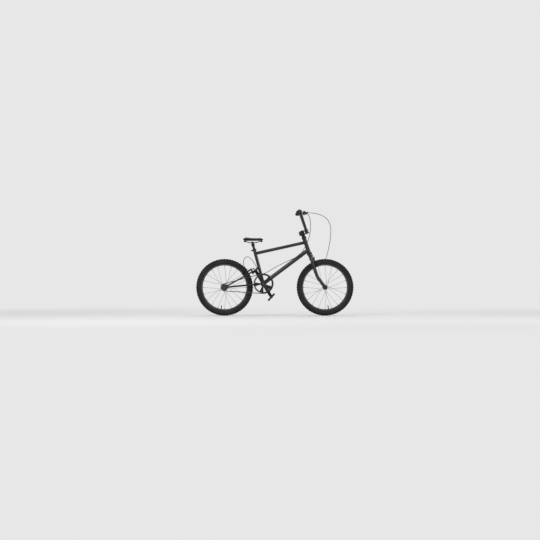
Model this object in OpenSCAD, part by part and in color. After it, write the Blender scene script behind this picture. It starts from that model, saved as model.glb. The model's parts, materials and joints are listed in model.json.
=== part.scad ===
/* [Wheels] */
// Distance between the two axles
wheel_base = 906; // [896:2:916]
// Outer diameter of a tyre over its knobs
tyre_d = 514; // [510:1:516]
// Width of a tyre
tyre_w = 54; // [50:1:55]
// Outer width of a rim
rim_w = 32; // [30:0.5:33]
// Spokes on each flange of a hub
flange_spokes = 10; // [10]
// Distance from the wheel's middle to a hub flange
flange_y = 30; // [28:0.5:31]
// Diameter of both axles
axle_d = 9.5; // [9:0.1:10]

/* [Frame] */
// Height of the bottom bracket above the ground
bracket_height = 290; // [284:1:296]
// Angle of the seat tube from the ground
seat_angle = 75; // [74:0.5:76]
// Height of the seat tube's top above the ground
seat_tube_top = 600; // [590:2:610]
// Outer diameter of the seat tube
seat_tube_d = 28.6; // [28:0.2:29]
// Outer diameter of the top tube
top_tube_d = 28.6; // [26:0.2:30]
// Outer diameter of the down tube
down_tube_d = 36; // [34:0.5:36]
// Height at which the top tube meets the seat tube
top_tube_rear_height = 562; // [550:2:566]
// Distance up the seat tube at which the seat stays meet it
stay_height = 146; // [140:1:150]

/* [Steering] */
// Angle of the head tube from the ground
head_angle = 71; // [70:0.5:72]
// Distance from the steering axis forward to the front axle
fork_offset = 35; // [33:0.5:37]
// Diameter of a fork leg
leg_d = 28; // [26:0.5:28.5]
// Length of the head tube
head_tube_len = 135; // [130:1:138]
// Reach of the stem
stem_reach = 40; // [39:0.5:44]
// Rise of the handlebar in its own plane
bar_rise = 185; // [175:1:195]
// Lean of the handlebar behind vertical
bar_lean = 18.5; // [16:0.5:22]
// Overall width of the handlebar
bar_w = 680; // [660:2:700]
// Diameter of the handlebar
bar_d = 22.2; // [22:0.1:22.4]
// Sweep of the grips to the rear
bar_sweep = 9; // [6:0.5:11]

/* [Drive] */
// Teeth on the chainring
ring_teeth = 44; // [44]
// Teeth on the freewheel
freewheel_teeth = 16; // [16]
// Pitch of the chain
chain_pitch = 12.7; // [12.7]
// Links in the chain
chain_links = 86; // [86]
// Distance from the bottom bracket to the rear axle
stay_len = 351; // [350.8:0.1:351.4]
// Distance from the middle of the bike to the chain
chain_line = 46; // [46:0.1:46.5]
// Length of a crank arm
crank_len = 140; // [136:1:145]
// Angle of the right crank arm, forward from straight down
crank_angle = 31; // [0:1:180]
// Tilt of the pedals
pedal_tilt = -48; // [-60:1:60]

/* [Saddle] */
// Length of the saddle
saddle_len = 180; // [170:1:190]
// Width of the saddle at its tail
saddle_w = 112; // [104:1:118]
// Height of the saddle's tail above the ground
saddle_top = 708; // [704:1:712]
// Diameter of the seat post
post_d = 22.2; // [22:0.1:22.2]

/* [Hidden] */
$fn = 64;

// Gap left between pieces that are welded or bolted together
seat_gap = 0.15;
// Radial clearance of a shaft that turns in its bore
run_gap = 0.05;
// A bend is this much fuller than its straight runs, which reach this far into it
bend_step = 0.15;
bend_lap = 0.5;
// The sides of a tapered plate run this far inside its round ends
side_step = 0.06;

paint = [0.06, 0.06, 0.065];
satin = [0.10, 0.10, 0.11];
steel = [0.32, 0.32, 0.33];
rubber = [0.04, 0.04, 0.04];

// Wheels
axle_z = tyre_d / 2;
axle_r = axle_d / 2;
rear_axle_at = [-wheel_base / 2, 0, axle_z];
front_axle_at = [wheel_base / 2, 0, axle_z];
tyre_section_r = tyre_w / 2;
tyre_mid_r = tyre_d / 2 - tyre_section_r;
tyre_wall = 3.5;
rim_top_r = 209.6;
rim_bed_r = 203.5;
rim_in_r = 197;
rim_flange = 2.6;
spoke_r = 1;
elbow_r = 1.3;
spoke_hole_r = 18;
spoke_turn = 72;
spoke_lift = 2;
flange_t = 3;
flange_r = 21.5;
nipple_len = 12;
front_old = 100;
rear_old = 110;
plate_t = 5;
nut_room = 10;
axle_end = 14;
axle_step = 0.6;

// Frame lines, all in the plane of the wheels
bracket_at = [rear_axle_at.x + sqrt(stay_len ^ 2 - (bracket_height - axle_z) ^ 2), 0, bracket_height];
seat_up = [-cos(seat_angle), 0, sin(seat_angle)];
seat_tube_len = (seat_tube_top - bracket_height) / sin(seat_angle);
seat_tube_r = seat_tube_d / 2;
head_up = [-cos(head_angle), 0, sin(head_angle)];
head_fwd = [sin(head_angle), 0, cos(head_angle)];
steer_foot = front_axle_at - head_fwd * fork_offset;
head_low_t = 340;
head_top_t = head_low_t + head_tube_len;
head_tube_r = 18;
head_bore_r = 15.6;
shell_r = 20;
shell_len = 68;
tube_wall = 1.6;
down_tube_t = 368;
top_tube_t = 441;
stay_r = 7;
chain_stay_r = 8;
stay_meet = bracket_at + seat_up * stay_height;
stay_dir = unit(stay_meet - rear_axle_at);
stay_side = [-stay_dir.z, 0, stay_dir.x];
chain_stay_dir = unit(bracket_at - rear_axle_at);
stay_out_y = 60.5;
stay_in_y = 12;
stay_straight = 192;
stay_start = 40;
chain_stay_start = 32;
chain_stay_far_y = 59.7;
chain_stay_near_y = 23;
bridge_r = 6;
bridge_at = rear_axle_at + stay_dir * 287;

// Fork, stem and handlebar stations along the steering axis
steerer_r = 14.3;
crown_t = 286;
crown_bend = 36;
leg_r = leg_d / 2;
leg_y = 48;
leg_bend = 150;
leg_angle = 18;
leg_cut = 24;
race_t = 325;
cup_h = 15;
upper_cup_h = 13;
spacer_t = head_top_t + upper_cup_h + 0.5;
stem_t = 528;
stem_h = 38;
bar_r = bar_d / 2;
stem_bolt_y = 16;
stem_bolt_z = 14.6;
stem_half_y = 23;
stem_front = stem_reach + 16;
bar_clamp_at = steer_foot + head_up * stem_t + head_fwd * stem_reach;
bar_low_y = 65;
bar_top_y = 175;
bar_low_bend = 60;
bar_top_bend = 50;
grip_end = (bar_w / 2 - bar_top_y) / cos(bar_sweep);
grip_start = 54;
grip_r = 15.5;
cross_rise = 120;
lever_tilt = 20.9;
lever_pivot = [40, 40];
lever_knee = [74, 66];
lever_tip = [64, 152];
lever_half = 5;
pin_r = 3;

// Brakes, about the bolt that carries both arms
brake_reach = 84;
brake_bolt_r = 3;
arm_t = 6;
arm_near = 16.5;
arm_far = 23;
pad_len = 40;
pad_gap = 3;
pad_t = 8;
stud_len = 15.4;
front_pad_x = 22;
rear_pad_x = 14;

// Drive
ring_r = ring_teeth * chain_pitch / (2 * PI);
freewheel_r = freewheel_teeth * chain_pitch / (2 * PI);
chain_lean = asin((ring_r - freewheel_r) / stay_len);
chain_run = stay_len * cos(chain_lean);
chain_rise = atan2(bracket_at.z - rear_axle_at.z, bracket_at.x - rear_axle_at.x);
ring_wrap = 180 + 2 * chain_lean;
freewheel_wrap = 180 - 2 * chain_lean;
chain_loop = 2 * chain_run + PI / 180 * (ring_r * ring_wrap + freewheel_r * freewheel_wrap);
link_step = chain_loop / chain_links;
top_angle = 90 + chain_rise + chain_lean;
freewheel_phase = (ceil(chain_run / link_step) * link_step - chain_run) / freewheel_r * 180 / PI;
roller_r = 3.6;
roller_seat_r = 4.1;
tooth_rise = 3.4;
tooth_flank = 25;
sprocket_t = 3.2;
plate_half = 4.2;
spindle_r = 9.5;
thread_r = 17;
arm_in = 54;
arm_out = 68;
pedal_in = 73;
pedal_out = 153;
pedal_half = 42;
pedal_t = 16;
pedal_axle_r = 5;

// Saddle
post_r = post_d / 2;
post_top = 652;
post_in = 120;
rail_r = 3.5;
rail_y = 22;
rail_z = 660;
rail_high = 670;
rail_front_x = -110;
rail_rear_x = -280;
rail_front_y = 13;
saddle_mid_x = -196;
saddle_tail_x = saddle_mid_x - saddle_len / 2;
saddle_low = 676;
base_t = 6;
cover_low = saddle_low + base_t + 0.2;
saddle_rings = 30;
saddle_sides = 28;

// Brake cables, as points chosen along their routes
cable_r = 2.5;
front_cable = [
    [267, 190, 931], [271, 170, 932], [284, 150, 933], [308, 138, 933], [345, 130, 930], [388, 122, 922],
    [428, 114, 908], [462, 106, 886], [486, 98, 856], [502, 90, 818], [507, 82, 776], [505, 75, 730],
    [500, 70, 682], [492, 66, 634], [482, 62, 586], [470, 58, 540], [454, 55, 502], [430, 52, 474],
    [400, 49, 464], [374, 46, 477], [360, 44, 499], [353, 44, 519]];
down_clip = [226, -20, 549];
seat_clip = [-118, -18, 378];
rear_cable = [
    [267, -190, 931], [272, -168, 931], [288, -148, 922], [304, -132, 900], [315, -114, 866],
    [320, -96, 824], [319, -78, 776], [313, -60, 728], [300, -44, 682], [281, -32, 636], [255, -24, 592],
    down_clip, [180, -20, 522], [130, -20, 500], [83, -20, 478], [26, -20, 449], [-33, -20, 416],
    [-82, -19, 388], seat_clip, [-138, -23, 396], [-158, -27, 431], [-182, -31, 470],
    [-212, -36, 510], [-244, -40, 532], [-270, -42, 520], [-283, -43, 490], [-280, -44, 456],
    [-262, -44, 428], [-240, -44, 414], [-220, -44, 417]];

function unit(v) = v / norm(v);

// A rigid frame at p whose third axis runs along z
function frame_at(p, z) =
    let (
        ref = abs(z.y) < 0.9 ? [0, 1, 0] : [1, 0, 0],
        x = unit(cross(ref, z)),
        y = cross(z, x)
    )
    frame_of(p, x, y, z);

function frame_of(p, x, y, z) = [
    [x.x, y.x, z.x, p.x], [x.y, y.y, z.y, p.y], [x.z, y.z, z.z, p.z], [0, 0, 0, 1]];

// A round bar from a to b
module bar(a, b, r) {
    multmatrix(frame_at(a, unit(b - a)))
        cylinder(h = norm(b - a), r = r);
}

function corner_cut(p, a, b, bend) = bend * tan(acos(unit(p - a) * unit(b - p)) / 2);

// The bend of a round bar at p, between the runs from a and to b
module elbow(a, p, b, bend, r) {
    in = unit(p - a);
    out = unit(b - p);
    side = unit(out - in * (in * out));
    start = p - in * corner_cut(p, a, b, bend);
    multmatrix(frame_of(start + side * bend, -side, in, cross(-side, in)))
        rotate_extrude(angle = acos(in * out))
            translate([bend, 0])
                circle(r = r + bend_step);
}

// A round bar bent at each inner point of a route, with a bend radius for each
module bent_bar(route, bends, r) {
    last = len(route) - 1;
    for (i = [0 : last - 1]) {
        run = unit(route[i + 1] - route[i]);
        cut_a = i == 0 ? 0 : corner_cut(route[i], route[i - 1], route[i + 1], bends[i - 1]) - bend_lap;
        cut_b = i == last - 1 ? 0 : corner_cut(route[i + 1], route[i], route[i + 2], bends[i]) - bend_lap;
        bar(route[i] + run * cut_a, route[i + 1] - run * cut_b, r);
        if (i < last - 1)
            elbow(route[i], route[i + 1], route[i + 2], bends[i], r);
    }
}

// A flat link with a round end at each of two points
module link_shape(a, ra, b, rb) {
    d = b - a;
    lean = acos((ra - rb) / norm(d));
    turn = atan2(d.y, d.x);
    up = [cos(turn + lean), sin(turn + lean)];
    down = [cos(turn - lean), sin(turn - lean)];
    sa = ra - side_step;
    sb = rb - side_step;
    polygon([a + up * sa, a + down * sa, b + down * sb, b + up * sb]);
    translate(a)
        circle(r = ra);
    translate(b)
        circle(r = rb);
}

// A flat plate seen from the side, between two distances across the bike
module side_plate(y0, y1) {
    translate([0, y1, 0])
        rotate([90, 0, 0])
            linear_extrude(y1 - y0)
                children();
}

// A round bar across the bike
module cross_bar(p, y0, y1, r) {
    translate([p.x, y1, p.z])
        rotate([90, 0, 0])
            cylinder(h = y1 - y0, r = r);
}

module both_sides() {
    children();
    mirror([0, 1, 0])
        children();
}

// The frame of the steering axis, with x forward and z up along it
module on_steer(t = 0) {
    translate(steer_foot)
        rotate([0, head_angle - 90, 0])
            translate([0, 0, t])
                children();
}

module on_bar() {
    translate(bar_clamp_at)
        rotate([0, -bar_lean, 0])
            children();
}

// The left grip's own frame, with y along the grip
module on_grip() {
    on_bar()
        translate([0, bar_top_y, bar_rise])
            rotate([0, 0, bar_sweep])
                children();
}

module on_lever() {
    on_grip()
        rotate([0, lever_tilt, 0])
            children();
}

// A brake's frame, with x along its bolt and z away from the axle
module on_front_brake() {
    on_steer(crown_t)
        children();
}

module on_rear_brake() {
    multmatrix(frame_of(bridge_at, stay_side, [0, -1, 0], stay_dir))
        children();
}

module ring(h, outer, inner) {
    difference() {
        cylinder(h = h, r = outer);
        translate([0, 0, -1])
            cylinder(h = h + 2, r = inner);
    }
}

// A ring whose axis runs across the bike
module cross_ring(p, y0, y1, outer, inner) {
    translate([p.x, y1, p.z])
        rotate([90, 0, 0])
            ring(y1 - y0, outer, inner);
}

module hex_nut(p, y0, y1, flat_r, inner) {
    translate([p.x, y1, p.z])
        rotate([90, 0, 0])
            difference() {
                cylinder(h = y1 - y0, r = flat_r, $fn = 6);
                translate([0, 0, -1])
                    cylinder(h = y1 - y0 + 2, r = inner);
            }
}

// The frame of the seat tube, with z up along it from the bottom bracket
module on_seat(d = 0) {
    translate(bracket_at)
        rotate([0, seat_angle - 90, 0])
            translate([0, 0, d])
                children();
}

module seat_tube_space() {
    on_seat(-30)
        cylinder(h = seat_tube_len + 60, r = seat_tube_r + seat_gap);
}

module head_tube_space() {
    on_steer(head_low_t - 40)
        cylinder(h = head_tube_len + 80, r = head_tube_r + seat_gap);
}

module shell_space() {
    cross_bar(bracket_at, -60, 60, shell_r + seat_gap);
}

module head_tube() {
    color(paint)
        on_steer(head_low_t)
            ring(head_tube_len, head_tube_r, head_bore_r);
}

module top_tube() {
    rear = bracket_at + seat_up * ((top_tube_rear_height - bracket_height) / sin(seat_angle));
    front = steer_foot + head_up * top_tube_t;
    color(paint)
        difference() {
            bar(rear, front, top_tube_d / 2);
            bar(rear, front, top_tube_d / 2 - tube_wall);
            seat_tube_space();
            head_tube_space();
        }
}

module down_tube() {
    front = steer_foot + head_up * down_tube_t;
    color(paint)
        difference() {
            bar(bracket_at, front, down_tube_d / 2);
            bar(bracket_at, front, down_tube_d / 2 - tube_wall);
            shell_space();
            seat_tube_space();
            head_tube_space();
        }
}

module seat_tube() {
    color(paint)
        difference() {
            on_seat()
                cylinder(h = seat_tube_len, r = seat_tube_r);
            on_seat(40)
                cylinder(h = seat_tube_len, r = post_r + 0.1);
            shell_space();
            on_seat(seat_tube_len - 30)
                translate([-seat_tube_r - 1, -1, 0])
                    cube([seat_tube_r, 2, 40]);
        }
}

module bottom_bracket_shell() {
    color(paint)
        cross_ring(bracket_at, -shell_len / 2, shell_len / 2, shell_r, 17.15);
}

// A rear dropout, seen from the side, with its slot open to the rear
module dropout_shape() {
    axle = [rear_axle_at.x, rear_axle_at.z];
    low = [chain_stay_dir.x, chain_stay_dir.z];
    high = [stay_dir.x, stay_dir.z];
    slot_half = axle_r + seat_gap - side_step;
    difference() {
        union() {
            link_shape(axle, 16, axle + low * (chain_stay_start + 8), 7.5);
            link_shape(axle, 16, axle + high * (stay_start - 8.7), 8.5);
            link_shape(axle, 14, axle - low * 12, 9);
        }
        translate(axle)
            circle(r = axle_r + seat_gap);
        translate(axle)
            rotate(chain_rise)
                translate([-40, -slot_half])
                    square([40, 2 * slot_half]);
    }
}

module chain_stays() {
    near = bracket_at + [0, chain_stay_near_y, 0];
    far = rear_axle_at + chain_stay_dir * chain_stay_start + [0, chain_stay_far_y, 0];
    color(paint)
        both_sides() {
            difference() {
                bar(near, far, chain_stay_r);
                shell_space();
            }
            side_plate(rear_old / 2, rear_old / 2 + plate_t)
                dropout_shape();
        }
}

module seat_stays() {
    foot = rear_axle_at + stay_dir * stay_start + [0, stay_out_y, 0];
    bend = rear_axle_at + stay_dir * stay_straight + [0, stay_out_y, 0];
    top = stay_meet + [0, stay_in_y, 0];
    bridge_y = 33;
    color(paint)
        difference() {
            union() {
                both_sides()
                    bent_bar([foot, bend, top], [60], stay_r);
                cross_bar(bridge_at, -bridge_y, bridge_y, bridge_r);
            }
            seat_tube_space();
            on_rear_brake()
                translate([-20, 0, 0])
                    rotate([0, 90, 0])
                        cylinder(h = 40, r = brake_bolt_r + seat_gap);
        }
}

module headset_cups() {
    color(satin) {
        on_steer(race_t + 0.5)
            difference() {
                cylinder(h = cup_h - 0.6, r = 24);
                translate([0, 0, -1])
                    cylinder(h = 12, r = 20.15);
                cylinder(h = cup_h, r = head_bore_r);
            }
        on_steer(head_top_t + 0.1)
            difference() {
                cylinder(h = upper_cup_h - 0.1, r = 22);
                translate([0, 0, 3])
                    cylinder(h = upper_cup_h, r = 20.15);
                translate([0, 0, -1])
                    cylinder(h = upper_cup_h, r = head_bore_r);
            }
    }
}

module headset_bearings() {
    color(steel) {
        on_steer(race_t + 1.5)
            ring(9, 20, steerer_r + run_gap);
        on_steer(head_top_t + 3.4)
            ring(9, 20, steerer_r + run_gap);
    }
}

module bottom_bracket_bearings() {
    color(steel)
        both_sides() {
            cross_ring(bracket_at, 22, shell_len / 2 + 0.15, 17, spindle_r + run_gap);
            cross_ring(bracket_at, shell_len / 2 + 0.15, 37, 21, spindle_r + run_gap);
        }
}

module seat_clamp() {
    clamp_h = 14;
    ear_x = -24;
    color(satin)
        on_seat(seat_tube_len - clamp_h + 1) {
            difference() {
                union() {
                    cylinder(h = clamp_h, r = 19);
                    translate([ear_x - 5, -8, 0])
                        cube([12, 16, clamp_h]);
                }
                translate([0, 0, -1])
                    cylinder(h = clamp_h + 2, r = seat_tube_r + seat_gap);
                translate([ear_x - 6, -1.2, -1])
                    cube([20, 2.4, clamp_h + 2]);
                translate([ear_x, 0, clamp_h / 2])
                    rotate([90, 0, 0])
                        cylinder(h = 40, r = 2.7, center = true);
            }
            translate([ear_x, 12, clamp_h / 2])
                rotate([90, 0, 0])
                    union() {
                        cylinder(h = 24, r = 2.5);
                        cylinder(h = 3.8, r = 4.4);
                    }
        }
}

// A threaded axle, whose ends past the nuts are turned down to the root of the thread
module axle_bar(at, old) {
    shoulder = old / 2 + plate_t + nut_room;
    reach = shoulder + axle_end;
    color(steel) {
        cross_bar(at, -shoulder, shoulder, axle_r);
        cross_bar(at, -reach, reach, axle_r - axle_step);
    }
}

module rear_axle() {
    axle_bar(rear_axle_at, rear_old);
}

// Washers and hex nuts that hold an axle in its dropouts
module axle_nuts(at, old) {
    face = old / 2 + plate_t + 0.2;
    color(steel)
        both_sides() {
            cross_ring(at, face, face + 1.5, 9.5, axle_r + seat_gap);
            hex_nut(at, face + 1.7, face + 9.5, 8.6, axle_r + seat_gap);
        }
}

module rear_axle_nuts() {
    axle_nuts(rear_axle_at, rear_old);
}

module x_rod(x0, x1, r, sides = 64) {
    translate([x0, 0, 0])
        rotate([0, 90, 0])
            cylinder(h = x1 - x0, r = r, $fn = sides);
}

// The bolt that carries a brake's two arms, with a collar in front of what it is bolted to
module brake_bolt(body_r) {
    color(steel) {
        x_rod(-body_r - 7, arm_far + arm_t + 6, brake_bolt_r);
        x_rod(-body_r - 5, -body_r - 0.2, 5.6, 6);
        x_rod(body_r + 0.2, arm_near - 0.3, 7);
        x_rod(arm_far + arm_t + 0.4, arm_far + arm_t + 5, 5.6, 6);
    }
}

module rear_brake_bolt() {
    on_rear_brake()
        brake_bolt(bridge_r);
}

module front_brake_bolt() {
    on_front_brake()
        brake_bolt(steerer_r);
}

// A band round a frame tube with an eye for the cable
module cable_clip(p, along, tube_at, tube_dir, tube_r) {
    foot = tube_at + tube_dir * ((p - tube_at) * tube_dir);
    difference() {
        union() {
            bar(foot - tube_dir * 4, foot + tube_dir * 4, tube_r + 2);
            bar(p - along * 4, p + along * 4, cable_r + 3);
        }
        bar(foot - tube_dir * 20, foot + tube_dir * 20, tube_r + seat_gap);
        bar(p - along * 20, p + along * 20, cable_r + 1.1);
    }
}

module cable_clips() {
    down_dir = unit(steer_foot + head_up * down_tube_t - bracket_at);
    color(rubber) {
        cable_clip(down_clip, unit(rear_cable[12] - rear_cable[10]), bracket_at, down_dir, down_tube_d / 2);
        cable_clip(seat_clip, unit(rear_cable[19] - rear_cable[17]), bracket_at, seat_up, seat_tube_r);
    }
}

module fork() {
    leg_dir = [sin(leg_angle), 0, -cos(leg_angle)];
    axle = [fork_offset, leg_y, 0];
    knee_t = fork_offset / tan(leg_angle);
    plate_top = [axle.x - leg_dir.x * 32, -leg_dir.z * 32];
    route = [[0, 0, crown_t], [0, leg_y, crown_t], [0, leg_y, knee_t], axle - leg_dir * leg_cut];
    steerer_top = stem_t + stem_h / 2 - 1;
    slot_half = axle_r + seat_gap - side_step;
    color(paint)
        on_steer()
            difference() {
                union() {
                    both_sides() {
                        bent_bar(route, [crown_bend, leg_bend], leg_r);
                        side_plate(front_old / 2, front_old / 2 + plate_t)
                            link_shape([fork_offset, 0], 14, plate_top, 11);
                    }
                    translate([0, 0, crown_t])
                        cylinder(h = steerer_top - crown_t, r = steerer_r);
                    translate([0, 0, crown_t + leg_r + 0.5])
                        cylinder(h = race_t - crown_t - leg_r - 6.5, r = 17.5);
                    translate([0, 0, race_t - 7])
                        cylinder(h = 7, r = 22);
                }
                translate([0, 0, race_t])
                    cylinder(h = steerer_top, r = steerer_r - 2);
                translate([0, 0, crown_t])
                    x_rod(-30, 30, brake_bolt_r + seat_gap);
                cross_bar([fork_offset, 0, 0], -90, 90, axle_r + seat_gap);
                translate([fork_offset - slot_half, -90, -40])
                    cube([2 * slot_half, 180, 40]);
            }
}

module headset_spacers() {
    spacer_h = (stem_t - stem_h / 2 - spacer_t) / 2;
    color(satin)
        for (i = [0, 1])
            on_steer(spacer_t + i * spacer_h)
                ring(spacer_h - 0.2, 17.5 - i, steerer_r + seat_gap);
}

module headset_top_cap() {
    color(satin)
        on_steer(stem_t + stem_h / 2 + 0.2)
            difference() {
                cylinder(h = 5, r = 17);
                translate([0, 0, 2.5])
                    cylinder(h = 5, r = 5.4);
                translate([0, 0, -1])
                    cylinder(h = 8, r = 3.2);
            }
}

module bar_bore() {
    translate([stem_reach, 0, 0])
        rotate([90, 0, 0])
            cylinder(h = 100, r = bar_r + seat_gap, center = true);
}

module at_stem_bolts() {
    for (y = [-1, 1], z = [-1, 1])
        translate([0, y * stem_bolt_y, z * stem_bolt_z])
            children();
}

module stem_body() {
    color(satin)
        on_steer(stem_t)
            difference() {
                union() {
                    cylinder(h = stem_h, r = 20, center = true);
                    translate([0, -stem_half_y, -stem_h / 2])
                        cube([stem_reach - 0.3, 2 * stem_half_y, stem_h]);
                    translate([-30, -10, -stem_h / 2])
                        cube([20, 20, stem_h]);
                }
                cylinder(h = stem_h + 2, r = steerer_r + seat_gap, center = true);
                bar_bore();
                translate([-40, -1, -stem_h])
                    cube([30, 2, 2 * stem_h]);
                translate([18.5, -30, -9])
                    cube([6.5, 60, 18]);
                at_stem_bolts()
                    x_rod(stem_reach - 12, stem_reach + 1, 2.65);
                for (z = [-1, 1])
                    translate([-25, 0, z * 10])
                        rotate([90, 0, 0])
                            cylinder(h = 60, r = 2.65, center = true);
            }
}

module stem_faceplate() {
    color(satin)
        on_steer(stem_t)
            difference() {
                translate([stem_reach + 0.3, -stem_half_y, -stem_h / 2])
                    cube([stem_front - stem_reach - 0.3, 2 * stem_half_y, stem_h]);
                bar_bore();
                at_stem_bolts()
                    x_rod(stem_reach, stem_front + 1, 2.65);
                translate([stem_reach + 10.5, -8, -stem_h / 2 - 1])
                    cube([20, 16, 12]);
                translate([stem_reach + 10.5, -8, stem_h / 2 - 11])
                    cube([20, 16, 12]);
            }
}

module stem_bolts() {
    color(steel)
        on_steer(stem_t) {
            at_stem_bolts() {
                x_rod(stem_reach - 11, stem_front + 0.2, 2.5);
                x_rod(stem_front + 0.2, stem_front + 4.5, 4.2);
            }
            for (z = [-1, 1])
                translate([-25, 0, z * 10])
                    rotate([90, 0, 0])
                        union() {
                            cylinder(h = 24, r = 2.5, center = true);
                            translate([0, 0, 10.3])
                                cylinder(h = 4, r = 4.2);
                        }
            translate([0, 0, stem_h / 2 + 2.9]) {
                cylinder(h = 3.5, r = 5);
                translate([0, 0, -24])
                    cylinder(h = 24, r = 3);
            }
        }
}

function grip_point(d) = [-d * sin(bar_sweep), bar_top_y + d * cos(bar_sweep), bar_rise];

module handlebar() {
    bar_end = grip_end - 5;
    half = [[0, bar_low_y, 0], [0, bar_top_y, bar_rise], grip_point(bar_end)];
    mirrored = [for (i = [2 : -1 : 0]) [half[i].x, -half[i].y, half[i].z]];
    bends = [bar_top_bend, bar_low_bend, bar_low_bend, bar_top_bend];
    cross_y = bar_low_y + (bar_top_y - bar_low_y) * cross_rise / bar_rise;
    color(paint)
        on_bar() {
            bent_bar(concat(mirrored, half), bends, bar_r);
            translate([0, cross_y, cross_rise])
                rotate([90, 0, 0])
                    cylinder(h = 2 * cross_y, r = 8);
        }
}

module along_grip(d) {
    on_grip()
        translate([0, d, 0])
            rotate([-90, 0, 0])
                children();
}

module grips() {
    color(rubber)
        both_sides() {
            along_grip(grip_start)
                difference() {
                    union() {
                        cylinder(h = grip_end - grip_start, r = grip_r);
                        cylinder(h = 3, r = 22);
                    }
                    translate([0, 0, -1])
                        cylinder(h = grip_end - grip_start - 3.8, r = bar_r + seat_gap);
                }
        }
}

module lever_plate(z0, z1) {
    translate([0, 0, z0])
        linear_extrude(z1 - z0)
            children();
}

// A clamp round the handlebar with two cheeks, the lever's pivot pin and the cable's barrel
module lever_clamp() {
    cheek = lever_half + 0.4;
    cheek_out = cheek + 4;
    difference() {
        union() {
            translate([0, 31.5, 0])
                rotate([-90, 0, 0])
                    cylinder(h = 17, r = 15.5);
            for (s = [0, 1])
                mirror([0, 0, s])
                    lever_plate(cheek, cheek_out) {
                        link_shape([6, 40], 8.5, lever_pivot, 8);
                        link_shape(lever_pivot, 8, [42, 25], 5);
                    }
            translate([37, 20, -cheek_out])
                cube([10, 9, 2 * cheek_out]);
            translate([42, 10, 0])
                rotate([-90, 0, 0])
                    cylinder(h = 12, r = 4.5);
            translate([lever_pivot.x, lever_pivot.y, -cheek_out - 1.5])
                cylinder(h = 2 * cheek_out + 3, r = pin_r);
        }
        rotate([-90, 0, 0])
            cylinder(h = 100, r = bar_r + seat_gap);
    }
}

module lever_clamps() {
    color(satin)
        both_sides()
            on_lever()
                lever_clamp();
}

module brake_lever() {
    color(satin)
        on_lever()
            difference() {
                lever_plate(-lever_half, lever_half) {
                    link_shape(lever_pivot, 8.5, lever_knee, 7);
                    link_shape(lever_knee, 7, lever_tip, 5.5);
                    translate(lever_tip)
                        circle(r = 7.5);
                }
                translate([lever_pivot.x, lever_pivot.y, 0])
                    cylinder(h = 40, r = pin_r + run_gap, center = true);
            }
}

module brake_lever_left() {
    brake_lever();
}

module brake_lever_right() {
    mirror([0, 1, 0])
        brake_lever();
}

module front_axle() {
    axle_bar(front_axle_at, front_old);
}

module front_axle_nuts() {
    axle_nuts(front_axle_at, front_old);
}

// A plate square to a brake's bolt, drawn in y and z
module brake_plate(x0) {
    translate([x0, 0, 0])
        rotate([90, 0, 90])
            linear_extrude(arm_t)
                children();
}

// One arm of a brake: the leg to its pad, and the ear that the cable works on
module brake_arm(x0, side, ear) {
    shoulder = [side * 38, -10];
    elbow_at = [side * 38, -52];
    pad_at = [side * 32, -brake_reach];
    color(satin)
        difference() {
            union() {
                brake_plate(x0) {
                    link_shape([0, 0], 9, shoulder, 7);
                    link_shape(shoulder, 7, elbow_at, 6.5);
                    link_shape(elbow_at, 6.5, pad_at, 4.4);
                    link_shape([0, 0], 9, ear, 6.5);
                }
                translate([x0 + arm_t / 2, side * 32, -brake_reach])
                    cube([12, 9, 11], center = true);
            }
            x_rod(0, 60, brake_bolt_r + run_gap);
            translate([x0 + arm_t / 2, side * 32, -brake_reach])
                rotate([90, 0, 0])
                    cylinder(h = 40, r = brake_bolt_r + seat_gap, center = true);
        }
}

module near_arm() {
    brake_arm(arm_near, 1, [44, 24]);
}

module far_arm() {
    brake_arm(arm_far, -1, [44, 2]);
}

// A brake pad on its stud, with the nut behind the arm
module brake_pad(x0, side, pad_x) {
    stud_x = x0 + arm_t / 2;
    face = rim_w / 2 + pad_gap;
    color(rubber)
        mirror([0, side < 0 ? 1 : 0, 0]) {
            translate([pad_x - pad_len / 2, face, -brake_reach - 4])
                cube([pad_len, pad_t, 8]);
            translate([stud_x, face + pad_t + stud_len, -brake_reach])
                rotate([90, 0, 0])
                    cylinder(h = stud_len, r = brake_bolt_r);
            translate([stud_x, face + pad_t + stud_len, -brake_reach])
                rotate([90, 0, 0])
                    cylinder(h = 4, r = 5.4, $fn = 6);
        }
}

module front_brake_arm_left() {
    on_front_brake()
        near_arm();
}

module front_brake_arm_right() {
    on_front_brake()
        far_arm();
}

module rear_brake_arm_right() {
    on_rear_brake()
        near_arm();
}

module rear_brake_arm_left() {
    on_rear_brake()
        far_arm();
}

module front_brake_pad_left() {
    on_front_brake()
        brake_pad(arm_near, 1, front_pad_x);
}

module front_brake_pad_right() {
    on_front_brake()
        brake_pad(arm_far, -1, front_pad_x);
}

module rear_brake_pad_right() {
    on_rear_brake()
        brake_pad(arm_near, 1, rear_pad_x);
}

module rear_brake_pad_left() {
    on_rear_brake()
        brake_pad(arm_far, -1, rear_pad_x);
}

module on_axle(at) {
    translate(at)
        rotate([90, 0, 0])
            children();
}

module tyre(at) {
    bead_y = rim_w / 2 - rim_flange - 0.2;
    color(rubber)
        on_axle(at)
            rotate_extrude($fn = 128)
                difference() {
                    translate([tyre_mid_r, 0])
                        circle(r = tyre_section_r);
                    translate([tyre_mid_r, 0])
                        circle(r = tyre_section_r - tyre_wall);
                    for (s = [-1, 1])
                        translate([0, s * (bead_y + 20)])
                            square([2 * (rim_top_r + 0.4), 40], center = true);
                    square([2 * (rim_bed_r + 0.2), 100], center = true);
                }
}

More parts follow.
